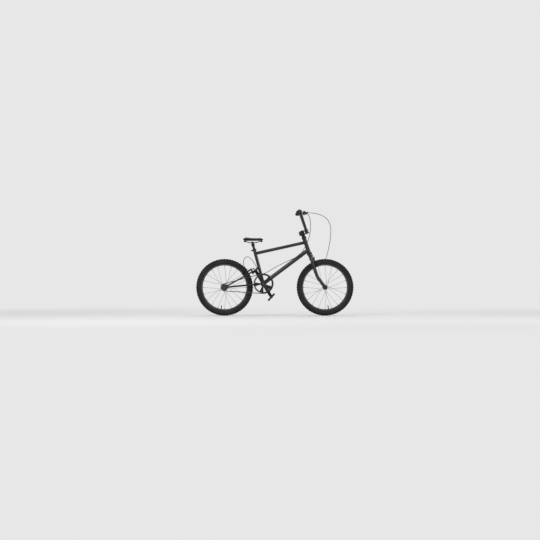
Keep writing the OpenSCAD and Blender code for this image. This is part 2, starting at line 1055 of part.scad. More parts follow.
module rim(at) {
    half = rim_w / 2;
    lip = half - rim_flange;
    color(satin)
        on_axle(at)
            rotate_extrude($fn = 128)
                polygon([
                    [rim_in_r, -10], [rim_in_r, 10], [rim_in_r + 3, half], [rim_top_r, half],
                    [rim_top_r, lip], [rim_bed_r, lip], [rim_bed_r, -lip], [rim_top_r, -lip],
                    [rim_top_r, -half], [rim_in_r + 3, -half]]);
}

function polar(r, a) = [r * cos(a), r * sin(a)];

function spoke_angle(k, side) = k * 360 / flange_spokes + (side > 0 ? 0 : 180 / flange_spokes);

// Every second spoke leads and the others trail, on opposite faces of their flange
function spoke_lead(k) = k % 2 == 0 ? 1 : -1;

module hub(at, old, body_r) {
    end = old / 2 - 0.5;
    thread_in = flange_y + 6.5;
    color(satin)
        on_axle(at)
            difference() {
                union() {
                    cylinder(h = 2 * end, r = 10.5, center = true);
                    cylinder(h = 2 * flange_y + 14, r = body_r, center = true);
                    for (s = [-1, 1])
                        translate([0, 0, s * flange_y])
                            cylinder(h = flange_t, r = flange_r, center = true);
                    if (old == rear_old)
                        translate([0, 0, thread_in])
                            cylinder(h = chain_line + 5 - thread_in, r = thread_r);
                }
                cylinder(h = old + 10, r = axle_r + run_gap, center = true);
                for (side = [-1, 1], k = [0 : flange_spokes - 1])
                    rotate(spoke_angle(k, side))
                        translate([spoke_hole_r, 0, side * flange_y])
                            cylinder(h = 10, r = elbow_r + 0.2, center = true, $fn = 24);
            }
}

// One spoke: its head and elbow at the flange, the wire, and the nipple at the rim
module spoke(k, side) {
    lead = spoke_lead(k);
    a = spoke_angle(k, side);
    face = flange_t / 2 + spoke_r + spoke_lift;
    hub_p = polar(spoke_hole_r, a);
    rim_p = polar(rim_in_r - 0.8, a + lead * spoke_turn);
    start = [hub_p.x, hub_p.y, side * (flange_y + lead * face)];
    head = [hub_p.x, hub_p.y, side * (flange_y - lead * (flange_t / 2 + 0.2))];
    end = [rim_p.x, rim_p.y, side * 3];
    run = unit(end - start);
    bar(start, end - run, spoke_r);
    bar(end - run * nipple_len, end, 2);
    bar(head, start + unit(start - head) * elbow_r, elbow_r);
    bar(head - unit(start - head), head, 1.9);
}

module spokes(at) {
    color(steel)
        on_axle(at)
            for (side = [-1, 1], k = [0 : flange_spokes - 1])
                spoke(k, side, $fn = 24);
}

module front_tyre() {
    tyre(front_axle_at);
}

module front_rim() {
    rim(front_axle_at);
}

module front_hub() {
    hub(front_axle_at, front_old, 13);
}

module front_spokes() {
    spokes(front_axle_at);
}

module rear_tyre() {
    tyre(rear_axle_at);
}

module rear_rim() {
    rim(rear_axle_at);
}

module rear_hub() {
    hub(rear_axle_at, rear_old, 13);
}

module rear_spokes() {
    spokes(rear_axle_at);
}

// A toothed disc, with a round seat for each roller of the chain that opens outward between the teeth
module sprocket_shape(teeth, pitch_r, phase) {
    low = roller_seat_r - 0.4;
    out = tooth_rise + 2;
    wide = low + out * tan(tooth_flank);
    difference() {
        circle(r = pitch_r + tooth_rise);
        for (k = [0 : teeth - 1])
            rotate(phase + k * 360 / teeth)
                translate([pitch_r, 0]) {
                    circle(r = roller_seat_r, $fn = 24);
                    polygon([[0, -low], [out, -wide], [out, wide], [0, low]]);
                }
    }
}

module freewheel() {
    axle = [rear_axle_at.x, rear_axle_at.z];
    color(steel)
        difference() {
            union() {
                side_plate(-chain_line - sprocket_t / 2, -chain_line + sprocket_t / 2)
                    translate(axle)
                        sprocket_shape(freewheel_teeth, freewheel_r, top_angle + freewheel_phase);
                cross_bar(rear_axle_at, -chain_line - 4.6, -chain_line + 4.2, 24);
            }
            cross_bar(rear_axle_at, -chain_line - 20, -chain_line + 20, thread_r + run_gap);
        }
}

module chainring() {
    bracket = [bracket_at.x, bracket_at.z];
    windows = 5;
    color(satin)
        difference() {
            union() {
                side_plate(-chain_line - sprocket_t / 2, -chain_line + sprocket_t / 2)
                    translate(bracket)
                        difference() {
                            sprocket_shape(ring_teeth, ring_r, top_angle);
                            for (k = [0 : windows - 1])
                                rotate(k * 360 / windows - crank_angle)
                                    intersection() {
                                        difference() {
                                            circle(r = ring_r - 14);
                                            circle(r = 27);
                                        }
                                        polygon([[0, 0], polar(120, 14), polar(120, 36), polar(120, 58)]);
                                    }
                        }
                cross_bar(bracket_at, -arm_in + 0.2, -37.6, 15);
            }
            cross_bar(bracket_at, -90, 0, spindle_r + seat_gap);
        }
}

// Where the chain's pitch line is after a run of s from the top of the chainring
function chain_point(s) =
    let (
        ring_c = [bracket_at.x, bracket_at.z],
        free_c = [rear_axle_at.x, rear_axle_at.z],
        low_angle = 2 * chain_rise - top_angle,
        free_arc = freewheel_r * freewheel_wrap * PI / 180,
        top_a = ring_c + polar(ring_r, top_angle),
        top_b = free_c + polar(freewheel_r, top_angle),
        low_a = free_c + polar(freewheel_r, low_angle),
        low_b = ring_c + polar(ring_r, low_angle),
        to_low = chain_run + free_arc,
        to_ring = to_low + chain_run,
        free_turn = (s - chain_run) / freewheel_r * 180 / PI,
        ring_turn = (s - to_ring) / ring_r * 180 / PI
    )
    s < chain_run ? top_a + (top_b - top_a) * s / chain_run
    : s < to_low ? free_c + polar(freewheel_r, top_angle + free_turn)
    : s < to_ring ? low_a + (low_b - low_a) * (s - to_low) / chain_run
    : ring_c + polar(ring_r, low_angle + ring_turn);

// The outline of the chain's loop, grown outward by a distance
module chain_shape(grow) {
    link_shape(
        [bracket_at.x, bracket_at.z], ring_r + grow, [rear_axle_at.x, rear_axle_at.z], freewheel_r + grow);
}

module chain() {
    color(steel) {
        for (s = [-1, 1])
            side_plate(-chain_line + s * 3.1 - 0.8, -chain_line + s * 3.1 + 0.8)
                difference() {
                    chain_shape(plate_half);
                    chain_shape(-plate_half);
                }
        for (k = [0 : chain_links - 1]) {
            p = chain_point(k * link_step);
            cross_bar([p.x, 0, p.y], -chain_line - 3.5, -chain_line + 3.5, roller_r, $fn = 24);
        }
    }
}

function pedal_at(side) = bracket_at + side * crank_len * [sin(crank_angle), 0, -cos(crank_angle)];

module crank_spindle() {
    color(steel)
        cross_bar(bracket_at, -arm_out - 3, arm_out + 3, spindle_r);
}

module crank_arm(side) {
    tip = pedal_at(side);
    difference() {
        side_plate(arm_in, arm_out)
            link_shape([bracket_at.x, bracket_at.z], 17, [tip.x, tip.z], 13);
        cross_bar(bracket_at, 0, 90, spindle_r + seat_gap);
        cross_bar(tip, 0, 90, 7 + seat_gap);
    }
}

module crank_arms() {
    color(satin) {
        mirror([0, 1, 0])
            crank_arm(1);
        crank_arm(-1);
    }
}

module pedal_axle(side) {
    tip = pedal_at(side);
    cross_bar(tip, arm_in, arm_out + 2.5, 7);
    cross_bar(tip, arm_out, pedal_out + 4, pedal_axle_r);
    cross_bar(tip, pedal_out + 0.5, pedal_out + 4, 7.5);
}

module pedal_axles() {
    color(steel) {
        mirror([0, 1, 0])
            pedal_axle(1);
        pedal_axle(-1);
    }
}

// A platform pedal about its axle, with a window each side of the barrel and short grip pins
module pedal() {
    width = pedal_out - pedal_in;
    color(satin)
        rotate([0, pedal_tilt, 0])
            difference() {
                union() {
                    translate([-pedal_half, pedal_in, -pedal_t / 2])
                        cube([2 * pedal_half, width, pedal_t]);
                    translate([0, pedal_out, 0])
                        rotate([90, 0, 0])
                            cylinder(h = width, r = 10.5);
                    for (x = [-1, 1], y = [0, 0.5, 1])
                        translate([x * 36, pedal_in + 8 + y * (width - 16), 0])
                            cylinder(h = pedal_t + 6, r = 1.8, center = true, $fn = 24);
                }
                for (x = [-1, 1])
                    translate([x * 20.5 - 9.5, pedal_in + 11, -20])
                        cube([19, width - 22, 40]);
                for (x = [-1, 1], y = [pedal_in, pedal_out])
                    translate([x * pedal_half, y, 0])
                        rotate(45)
                            cube([14, 14, 40], center = true);
                translate([0, pedal_out + 20, 0])
                    rotate([90, 0, 0])
                        cylinder(h = width + 40, r = pedal_axle_r + run_gap);
            }
}

module pedal_right() {
    translate(pedal_at(1))
        mirror([0, 1, 0])
            pedal();
}

module pedal_left() {
    translate(pedal_at(-1))
        pedal();
}

module seat_post() {
    top = (post_top - bracket_height) / sin(seat_angle);
    color(satin)
        on_seat(seat_tube_len - post_in)
            cylinder(h = top - seat_tube_len + post_in, r = post_r);
}

module saddle_clamp() {
    post_end = (post_top - bracket_height) / sin(seat_angle);
    rail_at = [bracket_at.x - (rail_z - bracket_height) / tan(seat_angle), 0, rail_z];
    color(satin)
        difference() {
            union() {
                on_seat(post_end - 26)
                    cylinder(h = 26, r = 15);
                cross_bar(rail_at, -30, 30, 10.5);
                for (y = [-36, 30])
                    translate([rail_at.x, y + 6, rail_at.z])
                        rotate([90, 0, 0])
                            cylinder(h = 6, r = 7.5, $fn = 6);
            }
            on_seat(post_end - 60)
                cylinder(h = 60 + seat_gap, r = post_r + seat_gap);
            for (s = [-1, 1])
                translate([rail_at.x, s * rail_y, rail_z])
                    x_rod(-40, 40, rail_r + seat_gap);
        }
}

module saddle_rails() {
    route = [
        [rail_front_x, rail_front_y, rail_high], [-138, rail_front_y, rail_high], [-168, rail_y, rail_z],
        [-236, rail_y, rail_z], [-258, rail_y, rail_high], [rail_rear_x, rail_y, rail_high]];
    color(steel)
        both_sides()
            bent_bar(route, [14, 14, 14, 14], rail_r);
}

function ease(x) = let (c = min(1, max(0, x))) c * c * (3 - 2 * c);

// Half the saddle's width at a share u of its length, from tail to nose
function saddle_half(u) =
    let (
        tail_round = u < 0.16 ? sqrt(1 - ((0.16 - u) / 0.17) ^ 2) : 1,
        nose_round = u > 0.9 ? sqrt(1 - ((u - 0.9) / 0.11) ^ 2) : 1
    )
    (19 + (saddle_w / 2 - 19) * (1 - ease((u - 0.18) / 0.55))) * tail_round * nose_round;

// Height of the saddle's top at that share: a raised tail, a dip and a level nose
function saddle_crown(u) =
    saddle_top - 8 * ease((u - 0.12) / 0.3) + 2 * ease((u - 0.6) / 0.3)
    - 12 * ease((0.14 - u) / 0.14) - 9 * ease((u - 0.88) / 0.12);

// One point of the cover's skin, drawn in below its widest line
function saddle_skin(i, j) =
    let (
        u = i / saddle_rings,
        a = 360 * j / saddle_sides,
        top = saddle_crown(u),
        waist = cover_low + 0.5 * (top - cover_low),
        half = saddle_half(u) * (1 - 0.1 * max(0, -sin(a))),
        rise = sin(a) > 0 ? (top - waist) * sin(a) ^ 0.85 : -(waist - cover_low) * (-sin(a)) ^ 0.6
    )
    [saddle_tail_x + u * saddle_len, half * sign(cos(a)) * abs(cos(a)) ^ 0.75, waist + rise];

module saddle_cover() {
    n = saddle_sides;
    skin = [for (i = [0 : saddle_rings], j = [0 : n - 1]) saddle_skin(i, j)];
    sides = [
        for (i = [0 : saddle_rings - 1], j = [0 : n - 1])
            let (a = i * n + j, b = i * n + (j + 1) % n)
            each [[a, b, b + n], [a, b + n, a + n]]];
    tail = [for (j = [1 : n - 2]) [0, j + 1, j]];
    last = saddle_rings * n;
    nose = [for (j = [1 : n - 2]) [last, last + j, last + j + 1]];
    color(rubber)
        polyhedron(skin, concat(sides, tail, nose));
}

// A stiff plate under the cover, with sockets for the rails
module saddle_base() {
    steps = 24;
    shares = [for (i = [1 : steps - 1]) i / steps];
    near = [for (u = shares) [saddle_tail_x + u * saddle_len, -0.84 * saddle_half(u)]];
    far = [for (i = [len(near) - 1 : -1 : 0]) [near[i].x, -near[i].y]];
    outline = concat(near, far);
    color(rubber)
        difference() {
            union() {
                translate([0, 0, saddle_low])
                    linear_extrude(base_t)
                        polygon(outline);
                translate([rail_front_x - 18, -19, rail_high - 6])
                    cube([16, 38, saddle_low - rail_high + 7]);
                for (s = [-1, 1])
                    translate([rail_rear_x + 2, s * rail_y - 7, rail_high - 6])
                        cube([16, 14, saddle_low - rail_high + 7]);
            }
            for (s = [-1, 1]) {
                translate([0, s * rail_front_y, rail_high])
                    x_rod(-140, -80, rail_r + seat_gap);
                translate([0, s * rail_y, rail_high])
                    x_rod(-300, -262, rail_r + seat_gap);
            }
        }
}

// A point on a smooth line through a route, at step t past its point i
function route_point(route, i, t) =
    let (
        last = len(route) - 1,
        a = route[max(0, i - 1)],
        b = route[i],
        c = route[min(last, i + 1)],
        d = route[min(last, i + 2)]
    )
    0.5 * (2 * b + (c - a) * t + (2 * a - 5 * b + 4 * c - d) * t ^ 2 + (3 * b - a - 3 * c + d) * t ^ 3);

function smooth_route(route, steps) = concat(
    [for (i = [0 : len(route) - 2], k = [0 : steps - 1]) route_point(route, i, k / steps)],
    [route[len(route) - 1]]);

function run_at(line, i) = unit(line[min(len(line) - 1, i + 1)] - line[max(0, i - 1)]);

// A round cable swept along a route, its rings carried on without twist
module cable(route, steps, sides = 8) {
    line = smooth_route(route, steps);
    last = len(line) - 1;
    first_side = unit(cross(run_at(line, 0), [0, 0, 1]));
    side = [
        for (i = 0, n = first_side; i <= last;
            i = i + 1, n = i > last ? n : unit(n - run_at(line, i) * (n * run_at(line, i))))
            n];
    skin = [
        for (i = [0 : last], j = [0 : sides - 1])
            let (a = 360 * j / sides)
            line[i] + cable_r * (side[i] * cos(a) + cross(run_at(line, i), side[i]) * sin(a))];
    walls = [
        for (i = [0 : last - 1], j = [0 : sides - 1])
            let (a = i * sides + j, b = i * sides + (j + 1) % sides)
            each [[a, b + sides, b], [a, a + sides, b + sides]]];
    start = [for (j = [1 : sides - 2]) [0, j, j + 1]];
    end = [for (j = [1 : sides - 2]) [last * sides, last * sides + j + 1, last * sides + j]];
    color(rubber)
        polyhedron(skin, concat(walls, start, end));
}

module front_brake_cable() {
    cable(front_cable, 3);
}

module rear_brake_cable() {
    cable(rear_cable, 3);
}

head_tube();
top_tube();
down_tube();
seat_tube();
bottom_bracket_shell();
chain_stays();
seat_stays();
headset_cups();
headset_bearings();
bottom_bracket_bearings();
seat_clamp();
rear_axle();
rear_axle_nuts();
rear_brake_bolt();
cable_clips();
rear_brake_cable();
chain();
seat_post();
saddle_clamp();
saddle_rails();
saddle_base();
saddle_cover();
fork();
headset_spacers();
headset_top_cap();
stem_body();
stem_faceplate();
stem_bolts();
handlebar();
grips();
lever_clamps();
front_axle();
front_axle_nuts();
front_brake_bolt();
front_brake_cable();
brake_lever_left();
brake_lever_right();
front_brake_arm_left();
front_brake_arm_right();
rear_brake_arm_left();
rear_brake_arm_right();
front_brake_pad_left();
front_brake_pad_right();
rear_brake_pad_left();
rear_brake_pad_right();
front_tyre();
front_rim();
front_hub();
front_spokes();
rear_tyre();
rear_rim();
rear_hub();
rear_spokes();
freewheel();
crank_spindle();
crank_arms();
chainring();
pedal_axles();
pedal_left();
pedal_right();
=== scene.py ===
import json
import math

import bpy
from mathutils import Matrix, Vector

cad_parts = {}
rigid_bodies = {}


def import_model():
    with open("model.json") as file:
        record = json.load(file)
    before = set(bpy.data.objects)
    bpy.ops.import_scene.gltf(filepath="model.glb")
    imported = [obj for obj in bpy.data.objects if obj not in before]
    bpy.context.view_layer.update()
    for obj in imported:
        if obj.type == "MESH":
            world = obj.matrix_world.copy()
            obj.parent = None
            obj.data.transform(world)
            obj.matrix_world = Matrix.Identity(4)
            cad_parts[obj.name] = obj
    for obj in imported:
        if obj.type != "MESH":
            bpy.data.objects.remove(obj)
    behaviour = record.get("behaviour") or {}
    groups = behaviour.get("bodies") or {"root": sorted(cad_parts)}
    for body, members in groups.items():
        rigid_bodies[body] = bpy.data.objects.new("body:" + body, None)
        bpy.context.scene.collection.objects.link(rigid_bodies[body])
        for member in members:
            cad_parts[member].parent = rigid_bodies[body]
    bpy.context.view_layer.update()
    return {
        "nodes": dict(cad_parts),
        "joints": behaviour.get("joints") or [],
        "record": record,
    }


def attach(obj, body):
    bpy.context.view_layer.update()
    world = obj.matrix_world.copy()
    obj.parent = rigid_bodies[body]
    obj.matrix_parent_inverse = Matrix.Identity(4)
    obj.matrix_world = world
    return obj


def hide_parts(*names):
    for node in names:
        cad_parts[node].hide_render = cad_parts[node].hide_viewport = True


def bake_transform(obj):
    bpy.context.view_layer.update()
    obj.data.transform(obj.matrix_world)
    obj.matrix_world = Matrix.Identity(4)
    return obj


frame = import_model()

scene = bpy.context.scene
scene.view_settings.view_transform = "Standard"
nodes = frame["nodes"]
joints = {j["name"]: j for j in frame["joints"]}
slotOf = {s["node"]: s["material_slot"] for s in frame["record"]["subparts"]}
bodyOf = {n: body for body, members in frame["record"]["behaviour"]["bodies"].items() for n in members}
wheels = ("front", "rear")
bothSides = (1, -1)  # left, then right
print("frame loaded:", len(nodes), "nodes")

# camera: level and square to the bike's right side
cameraSet = {
    "target": (-0.0437, 0.0, 0.413),
    "distance": 18.0,
    "span": 4.871,  # metres across the picture at the bike
    "sensor": 36.0,
    "clipEnd": 200,
}


def makeCamera(s):
    x, y, z = s["target"]
    bpy.ops.object.camera_add(location=(x, y - s["distance"], z), rotation=(math.pi / 2, 0, 0))
    camera = bpy.context.object
    camera.name = "sideCamera"
    camera.data.sensor_width = s["sensor"]
    camera.data.lens = s["sensor"] * s["distance"] / s["span"]
    camera.data.clip_end = s["clipEnd"]
    scene.camera = camera


makeCamera(cameraSet)
print("camera placed")


# main points and directions of the bike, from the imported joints
def pivotOf(joint):
    return Vector(joints[joint]["pos_m"])


def axisOf(joint):
    return Vector(joints[joint]["axis"])


stemSet = {"rise": 0.128, "reach": 0.040}  # from the steer joint to the bar's clamp
across = Vector((0, 1, 0))
axleOf = {which: pivotOf(which + "_wheel_spin") for which in wheels}
bracket = pivotOf("crank_spin")
seatUp = axisOf("seat_height")
steerAt = pivotOf("steer")
headUp = axisOf("steer")
headFwd = across.cross(headUp)
barClamp = steerAt + headUp * stemSet["rise"] + headFwd * stemSet["reach"]
staySide = axisOf("rear_caliper_left_close")
stayUp = across.cross(staySide)

fineGap = 1e-6  # metres between points that count as one
nearlyAlong = 0.95  # cosine between directions that count as one


def easeStep(t):
    t = min(1, max(0, t))
    return t * t * (3 - 2 * t)


def clearSelection():
    if bpy.context.mode != "OBJECT":
        endEdit()
    bpy.ops.object.select_all(action="DESELECT")


def pick(*objs):
    clearSelection()
    for o in objs:
        o.select_set(True)
    bpy.context.view_layer.objects.active = objs[0]


def editAll(obj):  # by points, because a bare ring has no faces to select
    pick(obj)
    bpy.ops.object.mode_set(mode="EDIT")
    bpy.ops.mesh.select_mode(type="VERT")
    bpy.ops.mesh.select_all(action="SELECT")


def endEdit():
    bpy.ops.object.mode_set(mode="OBJECT")


def settle(obj):  # place goes into the mesh
    pick(obj)
    bpy.ops.object.transform_apply(location=True, rotation=True, scale=True)


def place(obj, matrix):
    obj.matrix_world = matrix
    settle(obj)


def mergeUp(obj, gap=1e-5):  # close seams, then turn faces outwards
    editAll(obj)
    bpy.ops.mesh.remove_doubles(threshold=gap)
    bpy.ops.mesh.normals_make_consistent(inside=False)
    endEdit()


def joinAll(name, objs):
    pick(*objs)
    if len(objs) > 1:
        bpy.ops.object.join()
    whole = bpy.context.object
    whole.name = whole.data.name = name
    return whole


def copyOf(obj):
    pick(obj)
    bpy.ops.object.duplicate()
    return bpy.context.object


def looseCopy(node, name):  # copy of a CAD node that may change shape
    piece = copyOf(nodes[node])
    bpy.ops.object.parent_clear(type="CLEAR_KEEP_TRANSFORM")
    for key in list(piece.keys()):
        del piece[key]
    piece.name = piece.data.name = name
    return piece


def applyLast(obj):  # newest modifier goes into the mesh
    pick(obj)
    bpy.ops.object.modifier_apply(modifier=obj.modifiers[-1].name)


def smoothBy(obj, degrees):
    pick(obj)
    bpy.ops.object.shade_smooth_by_angle(angle=math.radians(degrees))


def alongAxis(at, direction):  # frame at a point, its z along direction
    z = direction.normalized()
    ref = across if abs(z.dot(across)) < nearlyAlong else Vector((1, 0, 0))
    x = ref.cross(z).normalized()
    m = Matrix((x, z.cross(x), z)).transposed().to_4x4()
    m.translation = at
    return m


def newCircle(sides, radius, **more):
    clearSelection()
    bpy.ops.mesh.primitive_circle_add(vertices=sides, radius=radius, **more)
    return bpy.context.object


def closeEnds(obj):
    bpy.ops.mesh.select_all(action="SELECT")
    bpy.ops.mesh.fill_holes(sides=0)
    mergeUp(obj, fineGap)


def turnedForm(name, rings, sides):  # rings of (distance along z, radius)
    z, r = rings[0]
    form = newCircle(sides, r, location=(0, 0, z))
    form.name = form.data.name = name
    settle(form)
    editAll(form)
    for (z0, r0), (z1, r1) in zip(rings, rings[1:]):
        bpy.ops.mesh.extrude_region_move(TRANSFORM_OT_translate={"value": (0, 0, z1 - z0)})
        if r1 != r0:
            bpy.ops.transform.resize(value=(r1 / r0, r1 / r0, 1), center_override=(0, 0, z1))
    closeEnds(form)
    return form


def tubeAlong(name, points, radius, sides=10, closed=False, swell=None, smooth=50):
    clearSelection()
    bpy.ops.curve.primitive_nurbs_path_add()
    tube = bpy.context.object
    line = tube.data
    line.splines.clear()
    spline = line.splines.new("POLY")
    spline.points.add(len(points) - 1)
    for i, p in enumerate(points):
        spline.points[i].co = (*p, 1)
        spline.points[i].radius = swell[i] if swell else 1
    spline.use_cyclic_u = closed
    line.dimensions = "3D"
    line.bevel_depth = radius
    line.bevel_resolution = max(0, sides // 2 - 2)
    line.use_fill_caps = not closed
    pick(tube)
    bpy.ops.object.convert(target="MESH")
    tube = bpy.context.object
    tube.name = tube.data.name = name
    mergeUp(tube, fineGap)
    smoothBy(tube, smooth)
    return tube


def smoothRoute(pts, steps):  # smooth line through points
    line = []
    for i in range(len(pts) - 1):
        a, b = pts[max(0, i - 1)], pts[i]
        c, d = pts[i + 1], pts[min(len(pts) - 1, i + 2)]
        for k in range(steps):
            t = k / steps
            line.append(0.5 * (2 * b + (c - a) * t + (2 * a - 5 * b + 4 * c - d) * t ** 2
                               + (3 * b - a - 3 * c + d) * t ** 3))
    return line + [pts[-1]]


# shader helpers; a noise is (scale, detail, roughness), and the last two may be left out
noiseSpan = (0.3, 0.7)  # where most of a noise's values lie


def newGroup(name, ins, outs):  # sockets are given as title and kind
    group = bpy.data.node_groups.new(name, "ShaderNodeTree")
    for way, sockets in (("INPUT", ins), ("OUTPUT", outs)):
        for title, kind in sockets.items():
            group.interface.new_socket(name=title, in_out=way, socket_type="NodeSocket" + kind)
    return group, group.nodes.new("NodeGroupInput").outputs, group.nodes.new("NodeGroupOutput")


def feed(tree, node, values):  # sockets are linked and numbers set, a tuple as a colour
    for key, value in values.items():
        if isinstance(value, bpy.types.NodeSocket):
            tree.links.new(value, node.inputs[key])
        else:
            node.inputs[key].default_value = (*value, 1) if isinstance(value, tuple) else value
    return node.outputs


def objectCoord(tree):
    return tree.nodes.new("ShaderNodeTexCoord").outputs["Object"]


def splitCoord(tree, vector):
    return feed(tree, tree.nodes.new("ShaderNodeSeparateXYZ"), {0: vector})


def mathNode(tree, operation, *values):
    node = tree.nodes.new("ShaderNodeMath")
    node.operation = operation
    return feed(tree, node, dict(enumerate(values)))[0]


def product(tree, value, *others):
    for other in others:
        value = mathNode(tree, "MULTIPLY", value, other)
    return value


def mapRange(tree, value, low, high, toLow=0.0, toHigh=1.0):
    node = tree.nodes.new("ShaderNodeMapRange")
    node.interpolation_type = "SMOOTHSTEP"
    ends = {"From Min": low, "From Max": high, "To Min": toLow, "To Max": toHigh}
    return feed(tree, node, {"Value": value, **ends})[0]


def noiseNode(tree, vector, scale, detail=3.0, roughness=0.55):
    values = {"Vector": vector, "Scale": scale, "Detail": detail, "Roughness": roughness}
    return feed(tree, tree.nodes.new("ShaderNodeTexNoise"), values)["Fac"]


def noiseBand(tree, vector, noise, span=noiseSpan, low=0.0, high=1.0):
    return mapRange(tree, noiseNode(tree, vector, *noise), *span, low, high)


def mixColour(tree, share, a, b):
    node = tree.nodes.new("ShaderNodeMix")
    node.data_type = "RGBA"
    return feed(tree, node, {"Factor": share, 6: a, 7: b})[2]  # its colour sockets


# road dust: thicker low down and in drifts
dustSet = {
    "tone": (0.19, 0.165, 0.135), "top": 0.6, "atTop": 0.12,  # height in metres, and the share left there
    "drift": (14, 5, 0.62), "driftSpan": (0.42, 0.72), "driftShare": 0.7,
    "speck": (420, 2, 0.7), "speckSpan": (0.5, 0.78), "speckShare": 0.55,
}


def makeDustGroup(s):
    ins = {"Base": "Color", "Dust": "Color", "Amount": "Float", "Top": "Float"}
    group, inp, out = newGroup("roadDust", ins, {"Color": "Color", "Mask": "Float"})
    coord = objectCoord(group)
    mask = mapRange(group, splitCoord(group, coord)["Z"], inp["Top"], 0.0, s["atTop"], 1.0)
    for kind in ("drift", "speck"):
        share = s[kind + "Share"]
        spots = noiseBand(group, coord, s[kind], s[kind + "Span"])
        mask = product(group, mask, mathNode(group, "ADD", product(group, spots, share), 1 - share))
    mask = product(group, mask, inp["Amount"])
    feed(group, out, {"Color": mixColour(group, mask, inp["Base"], inp["Dust"]), "Mask": mask})
    return group


# thin scratches that run two ways, in patches
scuffSet = {
    "fine": (2, 0.5), "fineSpan": (0.66, 0.74),
    # turn and stretch of each way
    "ways": [((0.5, 0.3, 0.9), (1, 14, 3)), ((-0.7, 0.8, 0.2), (12, 1, 4))],
    "patch": (9, 2), "patchSpan": (0.45, 0.68),
}


def makeScuffGroup(s):
    ins = {"Scale": "Float", "Amount": "Float"}
    group, inp, out = newGroup("fineScuffs", ins, {"Mask": "Float", "Height": "Float"})
    coord = objectCoord(group)
    lines = []
    for turn, stretch in s["ways"]:
        turned = {"Vector": coord, "Rotation": Vector(turn), "Scale": Vector(stretch)}
        along = feed(group, group.nodes.new("ShaderNodeMapping"), turned)[0]
        lines.append(noiseBand(group, along, (inp["Scale"], *s["fine"]), s["fineSpan"]))
    patch = noiseBand(group, coord, s["patch"], s["patchSpan"])
    mask = product(group, mathNode(group, "MAXIMUM", *lines), patch, inp["Amount"])
    feed(group, out, {"Mask": mask, "Height": mathNode(group, "SUBTRACT", 1.0, mask)})
    return group


# pebbled skin: cells with soft creases; its mask marks the grooves between the cells, where the vinyl gets
# painted shade
grainSet = {"pebble": (0.0, 0.35), "fold": (60, 4, 0.6), "foldSpan": (0.35, 0.65)}


def makeGrainGroup(s):
    ins = {"Scale": "Float", "Crease": "Float"}
    group, inp, out = newGroup("pebbleGrain", ins, {"Height": "Float", "Mask": "Float"})
    coord = objectCoord(group)
    cells = group.nodes.new("ShaderNodeTexVoronoi")
    cells.feature = "DISTANCE_TO_EDGE"
    edge = feed(group, cells, {"Vector": coord, "Scale": inp["Scale"]})["Distance"]
    pebble = mapRange(group, edge, *s["pebble"])
    folds = product(group, noiseBand(group, coord, s["fold"], s["foldSpan"]), inp["Crease"])
    height = mathNode(group, "ADD", pebble, folds)
    feed(group, out, {"Height": height, "Mask": mathNode(group, "SUBTRACT", 1.0, pebble)})
    return group


def makeRadialGroup():  # distance from a wheel's axle, and across the bike
    ins = {"Axle X": "Float", "Axle Z": "Float"}
    group, inp, out = newGroup("axleDistance", ins, {"Distance": "Float", "Across": "Float"})
    at = splitCoord(group, objectCoord(group))
    squares = []
    for way in ("X", "Z"):
        gap = mathNode(group, "SUBTRACT", at[way], inp["Axle " + way])
        squares.append(product(group, gap, gap))
    distance = mathNode(group, "SQRT", mathNode(group, "ADD", *squares))
    feed(group, out, {"Distance": distance, "Across": mathNode(group, "ABSOLUTE", at["Y"])})
    return group


dustGroup = makeDustGroup(dustSet)
scuffGroup = makeScuffGroup(scuffSet)
grainGroup = makeGrainGroup(grainSet)
radialGroup = makeRadialGroup()


def useGroup(tree, group, values):
    node = tree.nodes.new("ShaderNodeGroup")
    node.node_tree = group
    return feed(tree, node, values)


def dustOver(tree, base, amount, top=dustSet["top"]):
    return useGroup(tree, dustGroup, {"Base": base, "Dust": dustSet["tone"], "Amount": amount, "Top": top})


def scuffOver(tree, base, f):  # scratched colour, and height
    scale, amount = f["scuff"]
    scuffs = useGroup(tree, scuffGroup, {"Scale": scale, "Amount": amount})
    return mixColour(tree, scuffs["Mask"], base, f["scuffTone"]), scuffs["Height"]


def fromAxle(tree, axle):
    return useGroup(tree, radialGroup, {"Axle X": axle.x, "Axle Z": axle.z})


def cloudTone(tree, coord, f):
    return mixColour(tree, noiseBand(tree, coord, f["cloud"]), f["deep"], f["light"])


def ringWave(tree, coord, axle, scale):  # fine rings about a wheel's axle
    moved = feed(tree, tree.nodes.new("ShaderNodeMapping"), {"Vector": coord, "Location": -axle})[0]
    wave = tree.nodes.new("ShaderNodeTexWave")
    wave.wave_type = "RINGS"
    wave.rings_direction = "Y"
    return feed(tree, wave, {"Vector": moved, "Scale": scale})["Fac"]


def startMaterial(name):
    mat = bpy.data.materials.new(name)
    mat.use_nodes = True
    tree = mat.node_tree
    return mat, tree, tree.nodes["Principled BSDF"], objectCoord(tree)


def linkSurface(tree, shader, tone, rough, height, strength, distance):
    bump = tree.nodes.new("ShaderNodeBump")
    normal = feed(tree, bump, {"Height": height, "Strength": strength, "Distance": distance})[0]
    feed(tree, shader, {"Base Color": tone, "Roughness": rough, "Normal": normal})


